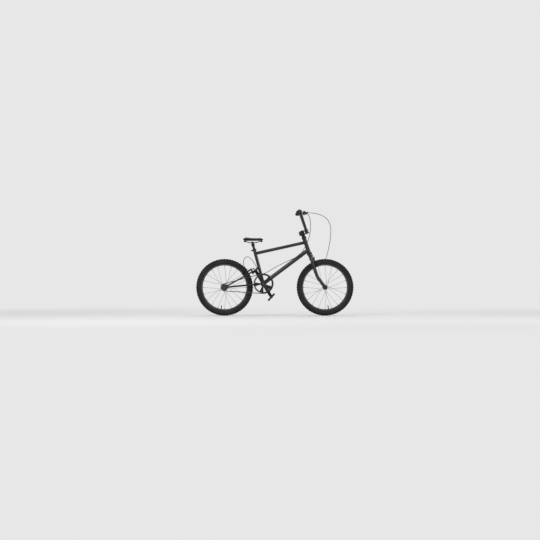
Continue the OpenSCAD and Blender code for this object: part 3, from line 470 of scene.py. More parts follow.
# what the finishes share, then one entry for each; peel is the grain's scale and strength
usualFinish = {
    "coat": 0.0, "coatRough": 0.12, "metal": 0.0, "spec": 0.5, "dust": 0.16, "dustDull": 0.5,
    "cloud": (7, 5, 0.6), "gloss": (32, 4, 0.6), "peelNoise": (2, 0.5), "peelShare": 0.6,
    "bumpDepth": 0.0006,
}
finishes = {
    "framePaint": {"deep": (0.007, 0.007, 0.008), "light": (0.014, 0.014, 0.015), "rough": (0.26, 0.4),
                   "scuff": (26, 0.45), "scuffTone": (0.045, 0.045, 0.047), "peel": (650, 0.05),
                   "coat": 0.3, "spec": 0.3},
    "blackAlloy": {"deep": (0.014, 0.014, 0.0155), "light": (0.027, 0.027, 0.029), "rough": (0.34, 0.5),
                   "scuff": (34, 0.6), "scuffTone": (0.13, 0.13, 0.135), "peel": (1500, 0.08),
                   "metal": 0.75, "spec": 0.4},
    "darkSteel": {"deep": (0.04, 0.04, 0.042), "light": (0.09, 0.09, 0.094), "rough": (0.26, 0.46),
                  "scuff": (48, 0.6), "scuffTone": (0.22, 0.22, 0.23), "peel": (900, 0.06),
                  "metal": 1.0, "dust": 0.18},
    "chainSteel": {"deep": (0.03, 0.028, 0.026), "light": (0.1, 0.096, 0.09), "rough": (0.3, 0.55),
                   "scuff": (70, 0.5), "scuffTone": (0.2, 0.19, 0.18), "peel": (700, 0.1),
                   "metal": 1.0, "dust": 0.35},
    "bareWire": {"deep": (0.16, 0.16, 0.165), "light": (0.3, 0.3, 0.31), "rough": (0.22, 0.38),
                 "scuff": (120, 0.4), "scuffTone": (0.45, 0.45, 0.46), "peel": (1800, 0.1),
                 "metal": 1.0, "dust": 0.1},
    "gripRubber": {"deep": (0.011, 0.011, 0.011), "light": (0.022, 0.022, 0.022), "rough": (0.62, 0.82),
                   "scuff": (40, 0.4), "scuffTone": (0.04, 0.04, 0.04), "peel": (1200, 0.2), "spec": 0.25},
    "cableSleeve": {"deep": (0.01, 0.01, 0.011), "light": (0.016, 0.016, 0.017), "rough": (0.24, 0.4),
                    "scuff": (60, 0.4), "scuffTone": (0.04, 0.04, 0.04), "peel": (800, 0.04),
                    "coat": 0.2, "spec": 0.35},
    "saddleShell": {"deep": (0.014, 0.014, 0.014), "light": (0.024, 0.024, 0.025), "rough": (0.5, 0.66),
                    "scuff": (36, 0.5), "scuffTone": (0.055, 0.055, 0.055), "peel": (1400, 0.25),
                    "spec": 0.35},
    "seamThread": {"deep": (0.03, 0.03, 0.031), "light": (0.06, 0.06, 0.062), "rough": (0.7, 0.86),
                   "scuff": (90, 0.2), "scuffTone": (0.1, 0.1, 0.1), "peel": (3000, 0.3),
                   "dust": 0.2, "spec": 0.3},
}


def makeFinish(name, own):
    f = {**usualFinish, **own}
    mat, tree, shader, coord = startMaterial(name)
    feed(tree, shader, {"Metallic": f["metal"], "Coat Weight": f["coat"], "Coat Roughness": f["coatRough"],
                        "Specular IOR Level": f["spec"]})
    worn, scratches = scuffOver(tree, cloudTone(tree, coord, f), f)
    dust = dustOver(tree, worn, f["dust"])
    gloss = noiseBand(tree, coord, f["gloss"], noiseSpan, *f["rough"])
    dull = mathNode(tree, "ADD", gloss, product(tree, dust["Mask"], f["dustDull"]))
    scale, strength = f["peel"]
    grain = product(tree, noiseNode(tree, coord, scale, *f["peelNoise"]), f["peelShare"])
    height = mathNode(tree, "ADD", grain, scratches)
    linkSurface(tree, shader, dust["Color"], dull, height, strength, f["bumpDepth"])
    return mat


vinylFinish = {
    "coat": 0.08, "spec": 0.3, "cloud": (22, 5, 0.6),
    "deep": (0.011, 0.011, 0.0115), "light": (0.021, 0.021, 0.022),
    # painted shade: the grooves between the pebbles are darkened towards this tone
    "grain": 620.0, "crease": 0.35, "creaseTone": (0.006, 0.006, 0.006), "creaseShare": 0.5,
    "scuff": (40.0, 0.35), "scuffTone": (0.05, 0.05, 0.05),
    "rub": (30, 3), "rubSpan": (0.35, 0.65), "rough": (0.36, 0.56), "bump": (0.4, 0.0005),
}


def makeSaddleVinyl(f):
    mat, tree, shader, coord = startMaterial("saddleVinyl")
    feed(tree, shader, {"Coat Weight": f["coat"], "Specular IOR Level": f["spec"]})
    grain = useGroup(tree, grainGroup, {"Scale": f["grain"], "Crease": f["crease"]})
    # painted shade darkens the grooves between the pebbles
    creaseShade = product(tree, grain["Mask"], f["creaseShare"])
    creaseShaded = mixColour(tree, creaseShade, cloudTone(tree, coord, f), f["creaseTone"])
    worn, _ = scuffOver(tree, creaseShaded, f)
    rough = noiseBand(tree, coord, f["rub"], f["rubSpan"], *f["rough"])
    linkSurface(tree, shader, worn, rough, grain["Height"], *f["bump"])
    return mat


tyreFinish = {
    "spec": 0.25, "cloud": (12, 5, 0.6), "deep": (0.01, 0.01, 0.01), "light": (0.018, 0.018, 0.0185),
    # distances from the axle of the knobs' tops, the tread's floor and the walls
    "tops": (0.2535, 0.2566), "floor": (0.2435, 0.2515), "walls": (0.243, 0.238),
    "rub": (60, 3), "rubSpan": (0.3, 0.65), "rubShare": (0.15, 0.8), "rubTone": (0.034, 0.033, 0.032),
    "drift": (26, 5, 0.65), "driftSpan": (0.4, 0.7), "driftShare": 0.4, "driftTone": (0.1, 0.086, 0.07),
    "dust": (0.1, 0.7), "dull": (90, 3), "rough": (0.62, 0.86),
    "rings": 130, "ringShare": 0.5, "grain": (900, 2), "bump": (0.22, 0.0006),
}


def makeTyreRubber(name, axle, f):
    mat, tree, shader, coord = startMaterial(name)
    feed(tree, shader, {"Specular IOR Level": f["spec"]})
    away = fromAxle(tree, axle)["Distance"]
    tops = mapRange(tree, away, *f["tops"])
    rub = product(tree, tops, noiseBand(tree, coord, f["rub"], f["rubSpan"], *f["rubShare"]))
    rubbed = mixColour(tree, rub, cloudTone(tree, coord, f), f["rubTone"])
    floor = product(tree, mapRange(tree, away, *f["floor"]), mathNode(tree, "SUBTRACT", 1.0, tops))
    drift = product(tree, floor, noiseBand(tree, coord, f["drift"], f["driftSpan"]), f["driftShare"])
    dusty = dustOver(tree, mixColour(tree, drift, rubbed, f["driftTone"]), *f["dust"])
    rough = noiseBand(tree, coord, f["dull"], noiseSpan, *f["rough"])
    walls = mapRange(tree, away, *f["walls"])  # mould rings show there
    rings = product(tree, ringWave(tree, coord, axle, f["rings"]), walls, f["ringShare"])
    height = mathNode(tree, "ADD", rings, noiseNode(tree, coord, *f["grain"]))
    linkSurface(tree, shader, dusty["Color"], rough, height, *f["bump"])
    return mat


rimFinish = {
    "metal": 0.8, "cloud": (9, 4), "deep": (0.016, 0.016, 0.018), "light": (0.03, 0.03, 0.033),
    # where the track that the brake pads wear begins, across the rim and from the axle
    "trackSide": (0.0156, 0.0159), "trackFoot": (0.2005, 0.2015), "trackTone": (0.11, 0.11, 0.113),
    "streak": (55, 4), "streakSpan": (0.25, 0.75), "streakShare": (0.35, 0.9),
    "dust": (0.25, 0.5), "dull": (40, 3), "rough": (0.3, 0.46), "rings": 420, "bump": (0.15, 0.0004),
}


def makeRimAlloy(name, axle, f):
    mat, tree, shader, coord = startMaterial(name)
    feed(tree, shader, {"Metallic": f["metal"]})
    radial = fromAxle(tree, axle)
    side = mapRange(tree, radial["Across"], *f["trackSide"])
    track = product(tree, side, mapRange(tree, radial["Distance"], *f["trackFoot"]))
    streak = noiseBand(tree, coord, f["streak"], f["streakSpan"], *f["streakShare"])
    worn = mixColour(tree, product(tree, track, streak), cloudTone(tree, coord, f), f["trackTone"])
    dusty = dustOver(tree, worn, *f["dust"])
    rough = noiseBand(tree, coord, f["dull"], noiseSpan, *f["rough"])
    rings = product(tree, ringWave(tree, coord, axle, f["rings"]), track)  # turning marks
    linkSurface(tree, shader, dusty["Color"], rough, rings, *f["bump"])
    return mat


mats = {name: makeFinish(name, own) for name, own in finishes.items()}
mats["saddleVinyl"] = makeSaddleVinyl(vinylFinish)
for which in wheels:
    mats[which + "Tyre"] = makeTyreRubber(which + "TyreRubber", axleOf[which], tyreFinish)
    mats[which + "Rim"] = makeRimAlloy(which + "RimAlloy", axleOf[which], rimFinish)
print("materials:", len(mats))

slotFinish = {
    "frame_paint": "framePaint", "black_alloy": "blackAlloy", "dark_steel": "darkSteel",
    "tyre_rubber": "gripRubber", "soft_rubber": "gripRubber", "cable_sleeve": "cableSleeve",
    "saddle_skin": "saddleVinyl", "saddle_plastic": "saddleShell",
}
nodeFinish = {
    "front_rim": "frontRim", "rear_rim": "rearRim", "chain": "chainSteel", "freewheel": "chainSteel",
}


def finishOf(node):
    return nodeFinish.get(node, slotFinish[slotOf[node]])


def paintWith(obj, finish):
    obj.data.materials.clear()
    obj.data.materials.append(mats[finish])


for name, obj in nodes.items():
    paintWith(obj, finishOf(name))


def finishPiece(obj, body, finish, replaced=(), smooth=None):
    paintWith(obj, finish)
    if smooth:
        smoothBy(obj, smooth)
    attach(obj, body)
    if replaced:
        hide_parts(*replaced)


# knobbly tyres
tyreSet = {
    "middle": 0.230, "knobTop": 0.027, "casing": 0.0218, "wall": 0.0264,
    "shoulder": (54, 72),  # degrees round the section where tread turns to wall
    "ridges": (82, 97, 112), "ridgeHalf": 4, "ridgeRise": 0.0006,  # raised lines on the wall
    "beadHalf": 0.0130, "beadRadius": 0.2062, "rimEdge": 0.2100,
    "profilePoints": 56, "steps": 128, "pitches": 64,
    # knobs of one pitch: turn in pitches, angle on the section, length, width
    "knobs": [(0.0, 11.5, 0.0135, 0.0088), (0.0, -11.5, 0.0135, 0.0088),
              (0.5, 33.0, 0.0150, 0.0092), (0.5, -33.0, 0.0150, 0.0092),
              (0.0, 53.0, 0.0120, 0.0085), (0.0, -53.0, 0.0120, 0.0085)],
    "knobHeight": 0.0075, "knobTaper": 0.8, "topInset": 0.0007, "topRise": 0.0005, "smooth": 32,
}


def tyreProfile(s, turn):  # radius of the casing at an angle from the crown
    a = abs(turn)
    low, high = s["shoulder"]
    r = s["casing"] + (s["wall"] - s["casing"]) * easeStep((a - low) / (high - low))
    for ridge in s["ridges"]:
        r += s["ridgeRise"] * max(0, 1 - abs(a - ridge) / s["ridgeHalf"])
    return r


def makeKnob(s, length, width):
    clearSelection()
    bpy.ops.mesh.primitive_cube_add(size=1)
    knob = bpy.context.object
    knob.scale = (length, width, s["knobHeight"])
    knob.location = (0, 0, -s["knobHeight"] / 2)
    settle(knob)
    for f in knob.data.polygons:  # only the top
        f.select = f.normal.z > 0.5
    for e in knob.data.edges:
        e.select = False
    for v in knob.data.vertices:
        v.select = v.co.z > -fineGap
    bpy.ops.object.mode_set(mode="EDIT")
    bpy.ops.mesh.select_mode(type="FACE")
    bpy.ops.transform.resize(value=(s["knobTaper"], s["knobTaper"], 1), center_override=(0, 0, 0))
    bpy.ops.mesh.inset(thickness=s["topInset"], depth=s["topRise"])
    endEdit()
    knob.data.transform(Matrix.Translation((0, 0, -s["topRise"])))
    return knob


def makeCasing(s):
    casing = newCircle(s["profilePoints"], 1)
    for v in casing.data.vertices:
        turn = math.atan2(v.co.x, v.co.y)
        r = tyreProfile(s, math.degrees(turn))
        y, z = r * math.sin(turn), s["middle"] + r * math.cos(turn)
        if z < s["rimEdge"]:  # the beads sit between the rim's flanges
            y = max(-s["beadHalf"], min(s["beadHalf"], y))
            z = max(z, s["beadRadius"])
        v.co = (0, y, z)
    editAll(casing)
    bpy.ops.mesh.spin(steps=s["steps"], angle=2 * math.pi, center=(0, 0, 0), axis=across)
    mergeUp(casing)
    return casing


def makeTread(s):
    pitch = 2 * math.pi / s["pitches"]
    row = []
    for ahead, lean, length, width in s["knobs"]:
        knob = makeKnob(s, length, width)
        place(knob, Matrix.Rotation(pitch * ahead, 4, "Y") @ Matrix.Translation((0, 0, s["middle"]))
              @ Matrix.Rotation(-math.radians(lean), 4, "X") @ Matrix.Translation((0, 0, s["knobTop"])))
        row.append(knob)
    tread = joinAll("treadRow", row)
    editAll(tread)
    last = s["pitches"] - 1
    bpy.ops.mesh.spin(steps=last, dupli=True, angle=pitch * last, center=(0, 0, 0), axis=across)
    endEdit()
    return tread


def makeTyre(which):
    s = tyreSet
    tyre = joinAll(which + "KnobTyre", [makeCasing(s), makeTread(s)])
    place(tyre, Matrix.Translation(axleOf[which]))
    editAll(tyre)
    bpy.ops.mesh.normals_make_consistent(inside=False)
    endEdit()
    finishPiece(tyre, which + "_wheel", which + "Tyre", [which + "_tyre"], s["smooth"])


for which in wheels:
    makeTyre(which)
print("tyres done")

# inner tube valves, one between two spokes of each wheel
valveSet = {
    "angle": {"front": 279, "rear": 261}, "foot": 0.1975, "sides": 16, "smooth": 35,
    "rings": [(0, 0.0062), (0.0012, 0.0062), (0.0016, 0.0042), (0.011, 0.0039), (0.0114, 0.0034),
              (0.0205, 0.0034), (0.021, 0.0046), (0.0222, 0.0048), (0.0282, 0.0046), (0.0318, 0.0040),
              (0.0332, 0.0026)],
}


def makeValve(which):
    s = valveSet
    valve = turnedForm(which + "Valve", s["rings"], s["sides"])
    a = math.radians(s["angle"][which])
    out = Vector((math.cos(a), 0, math.sin(a)))
    place(valve, alongAxis(axleOf[which] + out * s["foot"], -out))
    finishPiece(valve, which + "_wheel", "gripRubber", (), s["smooth"])


for which in wheels:
    makeValve(which)
print("valves done")

# drive chain, link by link round the chainring and freewheel
chainSet = {
    "links": 86, "ringRadius": 0.0889367, "wheelRadius": 0.0323406, "line": -0.046, "pitch": 0.0127,
    "plateRadius": 0.0039, "plateSides": 18, "waist": 0.72, "plateThick": 0.001,
    "inner": 0.0018, "outer": 0.0029, "pinSides": 10, "smooth": 30,
    # half length, radius, then how far the ends are cut back and to what share of the radius
    "pin": (0.0042, 0.0017, 0.0004, 0.7), "roller": (0.0017, 0.0036, 0.0003, 0.94),
}


def chainLine(s):
    ring, wheel = bracket, axleOf["rear"]
    ringRadius, wheelRadius = s["ringRadius"], s["wheelRadius"]
    stay = (ring - wheel).length
    lean = math.asin((ringRadius - wheelRadius) / stay)
    rise = math.atan2(ring.z - wheel.z, ring.x - wheel.x)
    run = stay * math.cos(lean)
    wheelArc = wheelRadius * (math.pi - 2 * lean)
    ringArc = ringRadius * (math.pi + 2 * lean)
    loop = 2 * run + wheelArc + ringArc
    top = math.pi / 2 + rise + lean
    low = 2 * rise - top

    def onCircle(centre, r, a):
        return Vector((centre.x + r * math.cos(a), s["line"], centre.z + r * math.sin(a)))

    def at(d):  # over the top, round the wheel, back below, and round the ring
        if d < run:
            return onCircle(ring, ringRadius, top).lerp(onCircle(wheel, wheelRadius, top), d / run)
        d -= run
        if d < wheelArc:
            return onCircle(wheel, wheelRadius, top + d / wheelRadius)
        d -= wheelArc
        if d < run:
            return onCircle(wheel, wheelRadius, low).lerp(onCircle(ring, ringRadius, low), d / run)
        return onCircle(ring, ringRadius, low + (d - run) / ringRadius)

    return [at(loop * k / s["links"]) for k in range(s["links"])]


def makePlate(s, y):  # one side plate, waisted between its pins
    plate = newCircle(s["plateSides"], s["plateRadius"])
    for v in plate.data.vertices:
        x, z = v.co.x, v.co.y
        if abs(x) < fineGap:
            z *= s["waist"]
        else:
            x += math.copysign(s["pitch"] / 2, x)
        v.co = (x, y, z)
    editAll(plate)
    bpy.ops.mesh.edge_face_add()
    thick = math.copysign(s["plateThick"], y)
    bpy.ops.mesh.extrude_region_move(TRANSFORM_OT_translate={"value": (0, thick, 0)})
    closeEnds(plate)
    return plate


def makeLink(s, wide):
    y = s["outer"] if wide else s["inner"]
    parts = [makePlate(s, y), makePlate(s, -y)]
    half, r, cut, share = s["pin"] if wide else s["roller"]
    rings = [(-half, r * share), (cut - half, r), (half - cut, r), (half, r * share)]
    for x in (-s["pitch"] / 2, s["pitch"] / 2):
        rod = turnedForm("rod", rings, s["pinSides"])
        place(rod, alongAxis((x, 0, 0), across))
        parts.append(rod)
    return joinAll("outerLink" if wide else "innerLink", parts)


def makeChain():
    s = chainSet
    pins = chainLine(s)
    links = [makeLink(s, False), makeLink(s, True)]
    row = []
    for k, p in enumerate(pins):
        q = pins[(k + 1) % len(pins)]
        ahead = (q - p).normalized()
        m = Matrix((ahead, across, ahead.cross(across))).transposed().to_4x4()
        m.translation = (p + q) / 2
        link = copyOf(links[k % 2])
        link.data.transform(m)
        row.append(link)
    for link in links:
        bpy.data.objects.remove(link)
    chain = joinAll("linkChain", row)
    finishPiece(chain, "frame", "chainSteel", ["chain"], s["smooth"])


makeChain()
print("chain done")

# ribbed rubber grips with an inner flange and a domed end
gripSet = {
    "lean": 18.5, "sweep": 9.0, "corner": (0, 0.175, 0.185),  # of the bar, from its clamp
    "start": 0.054, "length": 0.11336, "sides": 36, "smooth": 28,
    # rings of (distance along, radius): flange, each rib, the groove after them, and the end from its tip
    "flange": [(0, 0.0116), (0.0002, 0.0206), (0.0008, 0.0220), (0.0026, 0.0220), (0.0032, 0.0206),
               (0.0042, 0.0150)],
    "ribFrom": 0.0058, "ribPitch": 0.0052, "ribs": 18,
    "rib": [(0, 0.0138), (0.0011, 0.0138), (0.0017, 0.0151), (0.0023, 0.0155), (0.0039, 0.0155),
            (0.0045, 0.0151)],
    "groove": [(0.0004, 0.0138), (0.0018, 0.0138), (0.0026, 0.0155)],
    "tip": [(-0.0032, 0.0155), (-0.0014, 0.0149), (-0.0003, 0.0128), (0, 0.0085)],
}


def barPoint(local):
    return barClamp + Matrix.Rotation(-math.radians(gripSet["lean"]), 4, "Y") @ Vector(local)


def gripLine(s, side):
    sweep = math.radians(s["sweep"])
    x, y, z = s["corner"]
    a = barPoint((x, y, z))
    b = barPoint((x - math.sin(sweep), y + math.cos(sweep), z))
    flip = Vector((1, side, 1))
    return a * flip, (b - a) * flip


def gripRings(s):
    def moved(rings, by):
        return [(z + by, r) for z, r in rings]

    rings = list(s["flange"])
    for k in range(s["ribs"]):
        rings += moved(s["rib"], s["ribFrom"] + k * s["ribPitch"])
    rings += moved(s["groove"], s["ribFrom"] + s["ribs"] * s["ribPitch"])
    return rings + moved(s["tip"], s["length"])


def makeGrips():
    s = gripSet
    pair = []
    for side in bothSides:
        grip = turnedForm("grip", gripRings(s), s["sides"])
        corner, run = gripLine(s, side)
        place(grip, alongAxis(corner + run * s["start"], run))
        pair.append(grip)
    grips = joinAll("ribbedGrips", pair)
    finishPiece(grips, "steering", "gripRubber", ["grips"], s["smooth"])


makeGrips()
print("grips done")

# brake cables, with their routes in millimetres as in the CAD
cableSet = {
    "radius": 0.0025, "steps": 6, "sides": 12, "smooth": 30,
    "front": [
        (267, 190, 931), (271, 170, 932), (284, 150, 933), (308, 138, 933), (345, 130, 930), (388, 122, 922),
        (428, 114, 908), (462, 106, 886), (486, 98, 856), (502, 90, 818), (507, 82, 776), (505, 75, 730),
        (500, 70, 682), (492, 66, 634), (482, 62, 586), (470, 58, 540), (454, 55, 502), (430, 52, 474),
        (400, 49, 464), (374, 46, 477), (360, 44, 499), (353, 44, 519)],
    "rear": [
        (267, -190, 931), (272, -168, 931), (288, -148, 922), (304, -132, 900), (315, -114, 866),
        (320, -96, 824), (319, -78, 776), (313, -60, 728), (300, -44, 682), (281, -32, 636), (255, -24, 592),
        (226, -20, 549), (180, -20, 522), (130, -20, 500), (83, -20, 478), (26, -20, 449), (-33, -20, 416),
        (-82, -19, 388), (-118, -18, 378), (-138, -23, 396), (-158, -27, 431), (-182, -31, 470),
        (-212, -36, 510), (-244, -40, 532), (-270, -42, 520), (-283, -43, 490), (-280, -44, 456),
        (-262, -44, 428), (-240, -44, 414), (-220, -44, 417)],
    # two points along the rear cable's route
    "blendFrom": (0.232, -0.020, 0.572), "blendTo": (0.318, -0.090, 0.800),
    # end sleeves: distance along and radius
    "ferrule": [(-0.001, 0.0028), (0.0, 0.0033), (0.0105, 0.0033), (0.0118, 0.0028)],
    "adjuster": [(-0.007, 0.0030), (-0.0068, 0.0044), (-0.0012, 0.0044), (-0.001, 0.0038), (0.0, 0.0038),
                 (0.0002, 0.0049), (0.0056, 0.0049), (0.006, 0.0042), (0.0105, 0.0036), (0.011, 0.0030)],
    "ferruleSides": 14, "adjusterSides": 16,
}


def makeCables():
    s = cableSet
    lines = {which: smoothRoute([Vector(p) / 1000 for p in s[which]], s["steps"]) for which in wheels}
    sleeve = tubeAlong("frontCableSleeve", lines["front"], s["radius"], s["sides"])
    finishPiece(sleeve, "steering", "cableSleeve", ["front_brake_cable"])
    sleeve = tubeAlong("rearCableSleeve", lines["rear"], s["radius"], s["sides"])
    paintWith(sleeve, "cableSleeve")
    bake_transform(sleeve)
    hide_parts("rear_brake_cable")
    for which, line in lines.items():
        barrel = turnedForm(which + "LeverAdjuster", s["adjuster"], s["adjusterSides"])
        place(barrel, alongAxis(line[0], line[1] - line[0]))
        finishPiece(barrel, "steering", "blackAlloy", (), s["smooth"])
    for which, body in (("front", "steering"), ("rear", "frame")):
        line = lines[which]
        ferrule = turnedForm(which + "CableFerrule", s["ferrule"], s["ferruleSides"])
        place(ferrule, alongAxis(line[-1], line[-2] - line[-1]))
        finishPiece(ferrule, body, "darkSteel", (), s["smooth"])


makeCables()
print("cables done")

# brake wires from each lower ear up to the pinch bolt on the upper ear
wireSet = {
    "radius": 0.0008, "steps": 6, "sides": 8,
    # places from the brake's pivot in its own directions: ahead, out to the side, up
    "route": [(0.026, 0.044, -0.006), (0.026, 0.044, 0.010), (0.0249, 0.044, 0.019), (0.0243, 0.044, 0.028),
              (0.0253, 0.045, 0.048)],
    "boltAt": (0.0195, 0.044, 0.024),
    "bolt": [(-0.0075, 0.0030), (-0.0072, 0.0036), (-0.0042, 0.0036), (-0.004, 0.0025), (0.0032, 0.0025),
             (0.0034, 0.0046), (0.0042, 0.0048), (0.0052, 0.0048), (0.0054, 0.0030), (0.0078, 0.0028)],
    "boltSides": 6, "boltSmooth": 20,
    "crimp": [(-0.003, 0.0009), (-0.0026, 0.0013), (0.0026, 0.0013), (0.003, 0.0009)],
    "crimpSides": 10, "crimpSmooth": 30,
}


def makeBrakeWire(which, ahead, up, side, body):
    s = wireSet
    pivot = pivotOf(body + "_close")

    def at(spot):
        x, y, z = spot
        return pivot + ahead * x + across * side * y + up * z

    route = [at(spot) for spot in s["route"]]
    wire = tubeAlong(which + "BrakeWire", smoothRoute(route, s["steps"]), s["radius"], s["sides"])
    finishPiece(wire, body, "bareWire")
    crimp = turnedForm(which + "WireCrimp", s["crimp"], s["crimpSides"])
    place(crimp, alongAxis(route[-1], route[-1] - route[-2]))
    finishPiece(crimp, body, "bareWire", (), s["crimpSmooth"])
    bolt = turnedForm(which + "PinchBolt", s["bolt"], s["boltSides"])
    place(bolt, alongAxis(at(s["boltAt"]), ahead))
    finishPiece(bolt, body, "darkSteel", (), s["boltSmooth"])


makeBrakeWire("front", headFwd, headUp, 1, "front_caliper_left")
makeBrakeWire("rear", staySide, stayUp, -1, "rear_caliper_right")
print("brake wires done")

# weld beads where the tubes meet
weldSet = {
    "points": 72, "radius": 0.0021, "sides": 8, "ripple": 0.16, "rows": 24, "lift": 0.0002, "smooth": 60,
    # radii of the tubes
    "topTube": 0.0143, "downTube": 0.018, "seatTube": 0.0143, "headTube": 0.018, "shell": 0.020,
    "stay": 0.008, "bar": 0.0111, "crossTube": 0.008,
    # places up the head tube from the steer joint, and up from the bracket
    "topAtHead": 0.041, "downAtHead": -0.032, "topAtSeat": 0.272,
    # a chain stay's tail ahead of the axle, and its two ends out to the side
    "stayTail": 0.032, "stayFar": 0.0597, "stayNear": 0.023,
    "barFoot": 0.065, "crossUp": 0.120,
}


def weldLine(s, a, run, ra, b, axis, rb):
    # a tube of radius ra runs from a along run into a tube of radius rb about b
    run, axis = run.normalized(), axis.normalized()
    u = run.orthogonal().normalized()
    v = run.cross(u)
    line = []
    for i in range(s["points"]):
        turn = 2 * math.pi * i / s["points"]
        p = a + (u * math.cos(turn) + v * math.sin(turn)) * ra
        w = p - b
        w = w - axis * w.dot(axis)
        d = run - axis * run.dot(axis)
        qa, qb, qc = d.dot(d), 2 * w.dot(d), w.dot(w) - (rb + s["lift"]) ** 2
        gap = max(0.0, qb * qb - 4 * qa * qc)
        line.append(p + run * ((-qb - math.sqrt(gap)) / (2 * qa)))
    return line


def makeWelds(name, joined, body):
    s = weldSet
    turns = [2 * math.pi * s["rows"] * i / s["points"] for i in range(s["points"])]
    swell = [1 + s["ripple"] * math.cos(turn) for turn in turns]
    beads = [tubeAlong("bead", weldLine(s, *tubes), s["radius"], s["sides"], True, swell) for tubes in joined]
    finishPiece(joinAll(name, beads), body, "framePaint", (), s["smooth"])


def frameTubes(s):
    topRear = bracket + seatUp * (s["topAtSeat"] / seatUp.z)
    topFront = steerAt + headUp * s["topAtHead"]
    downFront = steerAt + headUp * s["downAtHead"]
    topMid = (topRear + topFront) / 2
    downMid = (bracket + downFront) / 2
    head = (steerAt, headUp, s["headTube"])
    shell = (bracket, across, s["shell"])
    joined = [
        (topMid, topFront - topRear, s["topTube"], *head),
        (topMid, topRear - topFront, s["topTube"], bracket, seatUp, s["seatTube"]),
        (downMid, downFront - bracket, s["downTube"], *head),
        (downMid, bracket - downFront, s["downTube"], *shell),
        ((bracket + topRear) / 2, -seatUp, s["seatTube"], *shell),
    ]
    tail = axleOf["rear"] + (bracket - axleOf["rear"]).normalized() * s["stayTail"]
    for side in bothSides:
        far = tail + across * s["stayFar"] * side
        near = bracket + across * s["stayNear"] * side
        joined.append(((near + far) / 2, near - far, s["stay"], *shell))
    return joined


def barTubes(s):
    x, y, z = gripSet["corner"]
    middle = barPoint((0, 0, s["crossUp"]))
    joined = []
    for side in bothSides:
        low = barPoint((0, s["barFoot"] * side, 0))
        high = barPoint((x, y * side, z))
        joined.append((middle, across * side, s["crossTube"], low, high - low, s["bar"]))
    return joined


makeWelds("frameWelds", frameTubes(weldSet), "frame")
makeWelds("barWelds", barTubes(weldSet), "steering")
print("welds done")

# saddle cover: a stuffed skin that swells over its foam, with sewn side panels
saddleSet = {
    "voxel": 0.0036, "pressure": 3.5, "frames": 18, "quality": 6, "cap": 0.0022, "pinBelow": 0.6855,
    "even": (0.5, 4), "smooth": 80,
    # plan: shares of the length where tail, nose and flare begin or end, and half widths
    "tail": -0.286, "length": 0.180, "tailEnd": 0.16, "tailRound": 0.17, "noseStart": 0.9, "noseRound": 0.11,
    "flareStart": 0.18, "flareSpan": 0.55, "noseHalf": 0.019, "flareHalf": 0.037,
    # seams: shares of the length and of the half width, and the channel pressed in by sewing
    "seamFrom": 0.045, "seamSpan": 0.91, "seamShare": 0.70, "seamPoints": 120, "seamAbove": 0.004,
    "seamDepth": 0.0012, "seamWidth": 0.0026, "seamCurve": 1.5,
    # stitches beside the seams: share along a stitch, and height over the skin
    "stitchPoints": 400, "stitchStep": 0.0048, "stitchLength": 0.003, "stitchAside": 0.0024,
    "stitchRise": [(-0.5, -0.0004), (-0.2, 0.0002), (0.2, 0.0002), (0.5, -0.0004)],
    "threadRadius": 0.00042, "threadSides": 4, "threadSmooth": 50, "lookFrom": 0.8,
    "pipeRadius": 0.0016, "pipeHeight": 0.6838, "pipeFrom": 0.012, "pipeSpan": 0.976, "pipeShare": 0.88,
    "pipeSteps": 90,
}


def saddleHalf(s, u):  # half width at a share of the length from the tail
    tail = max(0, s["tailEnd"] - u) / s["tailRound"]
    nose = max(0, u - s["noseStart"]) / s["noseRound"]
    rounding = math.sqrt(max(0, 1 - tail ** 2)) * math.sqrt(max(0, 1 - nose ** 2))
    flare = 1 - easeStep((u - s["flareStart"]) / s["flareSpan"])
    return (s["noseHalf"] + s["flareHalf"] * flare) * rounding


def seamLine(s, side, count):  # plan of a side panel's seam
    shares = [s["seamFrom"] + s["seamSpan"] * i / (count - 1) for i in range(count)]
    return [(s["tail"] + s["length"] * u, side * s["seamShare"] * saddleHalf(s, u)) for u in shares]


def swellSkin(s, cover):
    start = [v.co.copy() for v in cover.data.vertices]
    held = cover.vertex_groups.new(name="held")
    held.add([i for i, p in enumerate(start) if p.z < s["pinBelow"]], 1.0, "REPLACE")
    cloth = cover.modifiers.new("swell", "CLOTH").settings
    cloth.use_pressure = True
    cloth.uniform_pressure_force = s["pressure"]
    cloth.effector_weights.gravity = 0
    cloth.vertex_group_mass = "held"
    cloth.quality = s["quality"]
    for f in range(1, s["frames"] + 1):
        scene.frame_set(f)
    applyLast(cover)
    scene.frame_set(1)
    for v, p in zip(cover.data.vertices, start):
        move = v.co - p
        if move.length > s["cap"]:
            v.co = p + move * (s["cap"] / move.length)


def makeSaddle(s):
    cover = looseCopy("saddle_cover", "saddlePadding")
    mergeUp(cover)
    cover.data.remesh_voxel_size = s["voxel"]
    pick(cover)
    bpy.ops.object.voxel_remesh()
    swellSkin(s, cover)
    even = cover.modifiers.new("even", "SMOOTH")
    even.factor, even.iterations = s["even"]
    applyLast(cover)
    dense = cover.modifiers.new("dense", "SUBSURF")
    dense.levels = dense.render_levels = 1
    applyLast(cover)
    seams = {side: seamLine(s, side, s["seamPoints"]) for side in bothSides}
    for v in cover.data.vertices:
        if v.co.z < s["pinBelow"] + s["seamAbove"]:
            continue
        near = min((v.co.x - x) ** 2 + (v.co.y - y) ** 2 for x, y in seams[1 if v.co.y > 0 else -1])
        v.co.z -= s["seamDepth"] * max(0, 1 - math.sqrt(near) / s["seamWidth"]) ** s["seamCurve"]
    finishPiece(cover, "seat", "saddleVinyl", ["saddle_cover"], s["smooth"])
    return cover


def stitchLine(s, cover, middle, run):
    pts = []
    for share, rise in s["stitchRise"]:
        p = middle + run * s["stitchLength"] * share
        hit, at, *_ = cover.ray_cast(Vector((p.x, p.y, s["lookFrom"])), Vector((0, 0, -1)))
        if hit:
            pts.append(at + Vector((0, 0, rise)))
    return pts


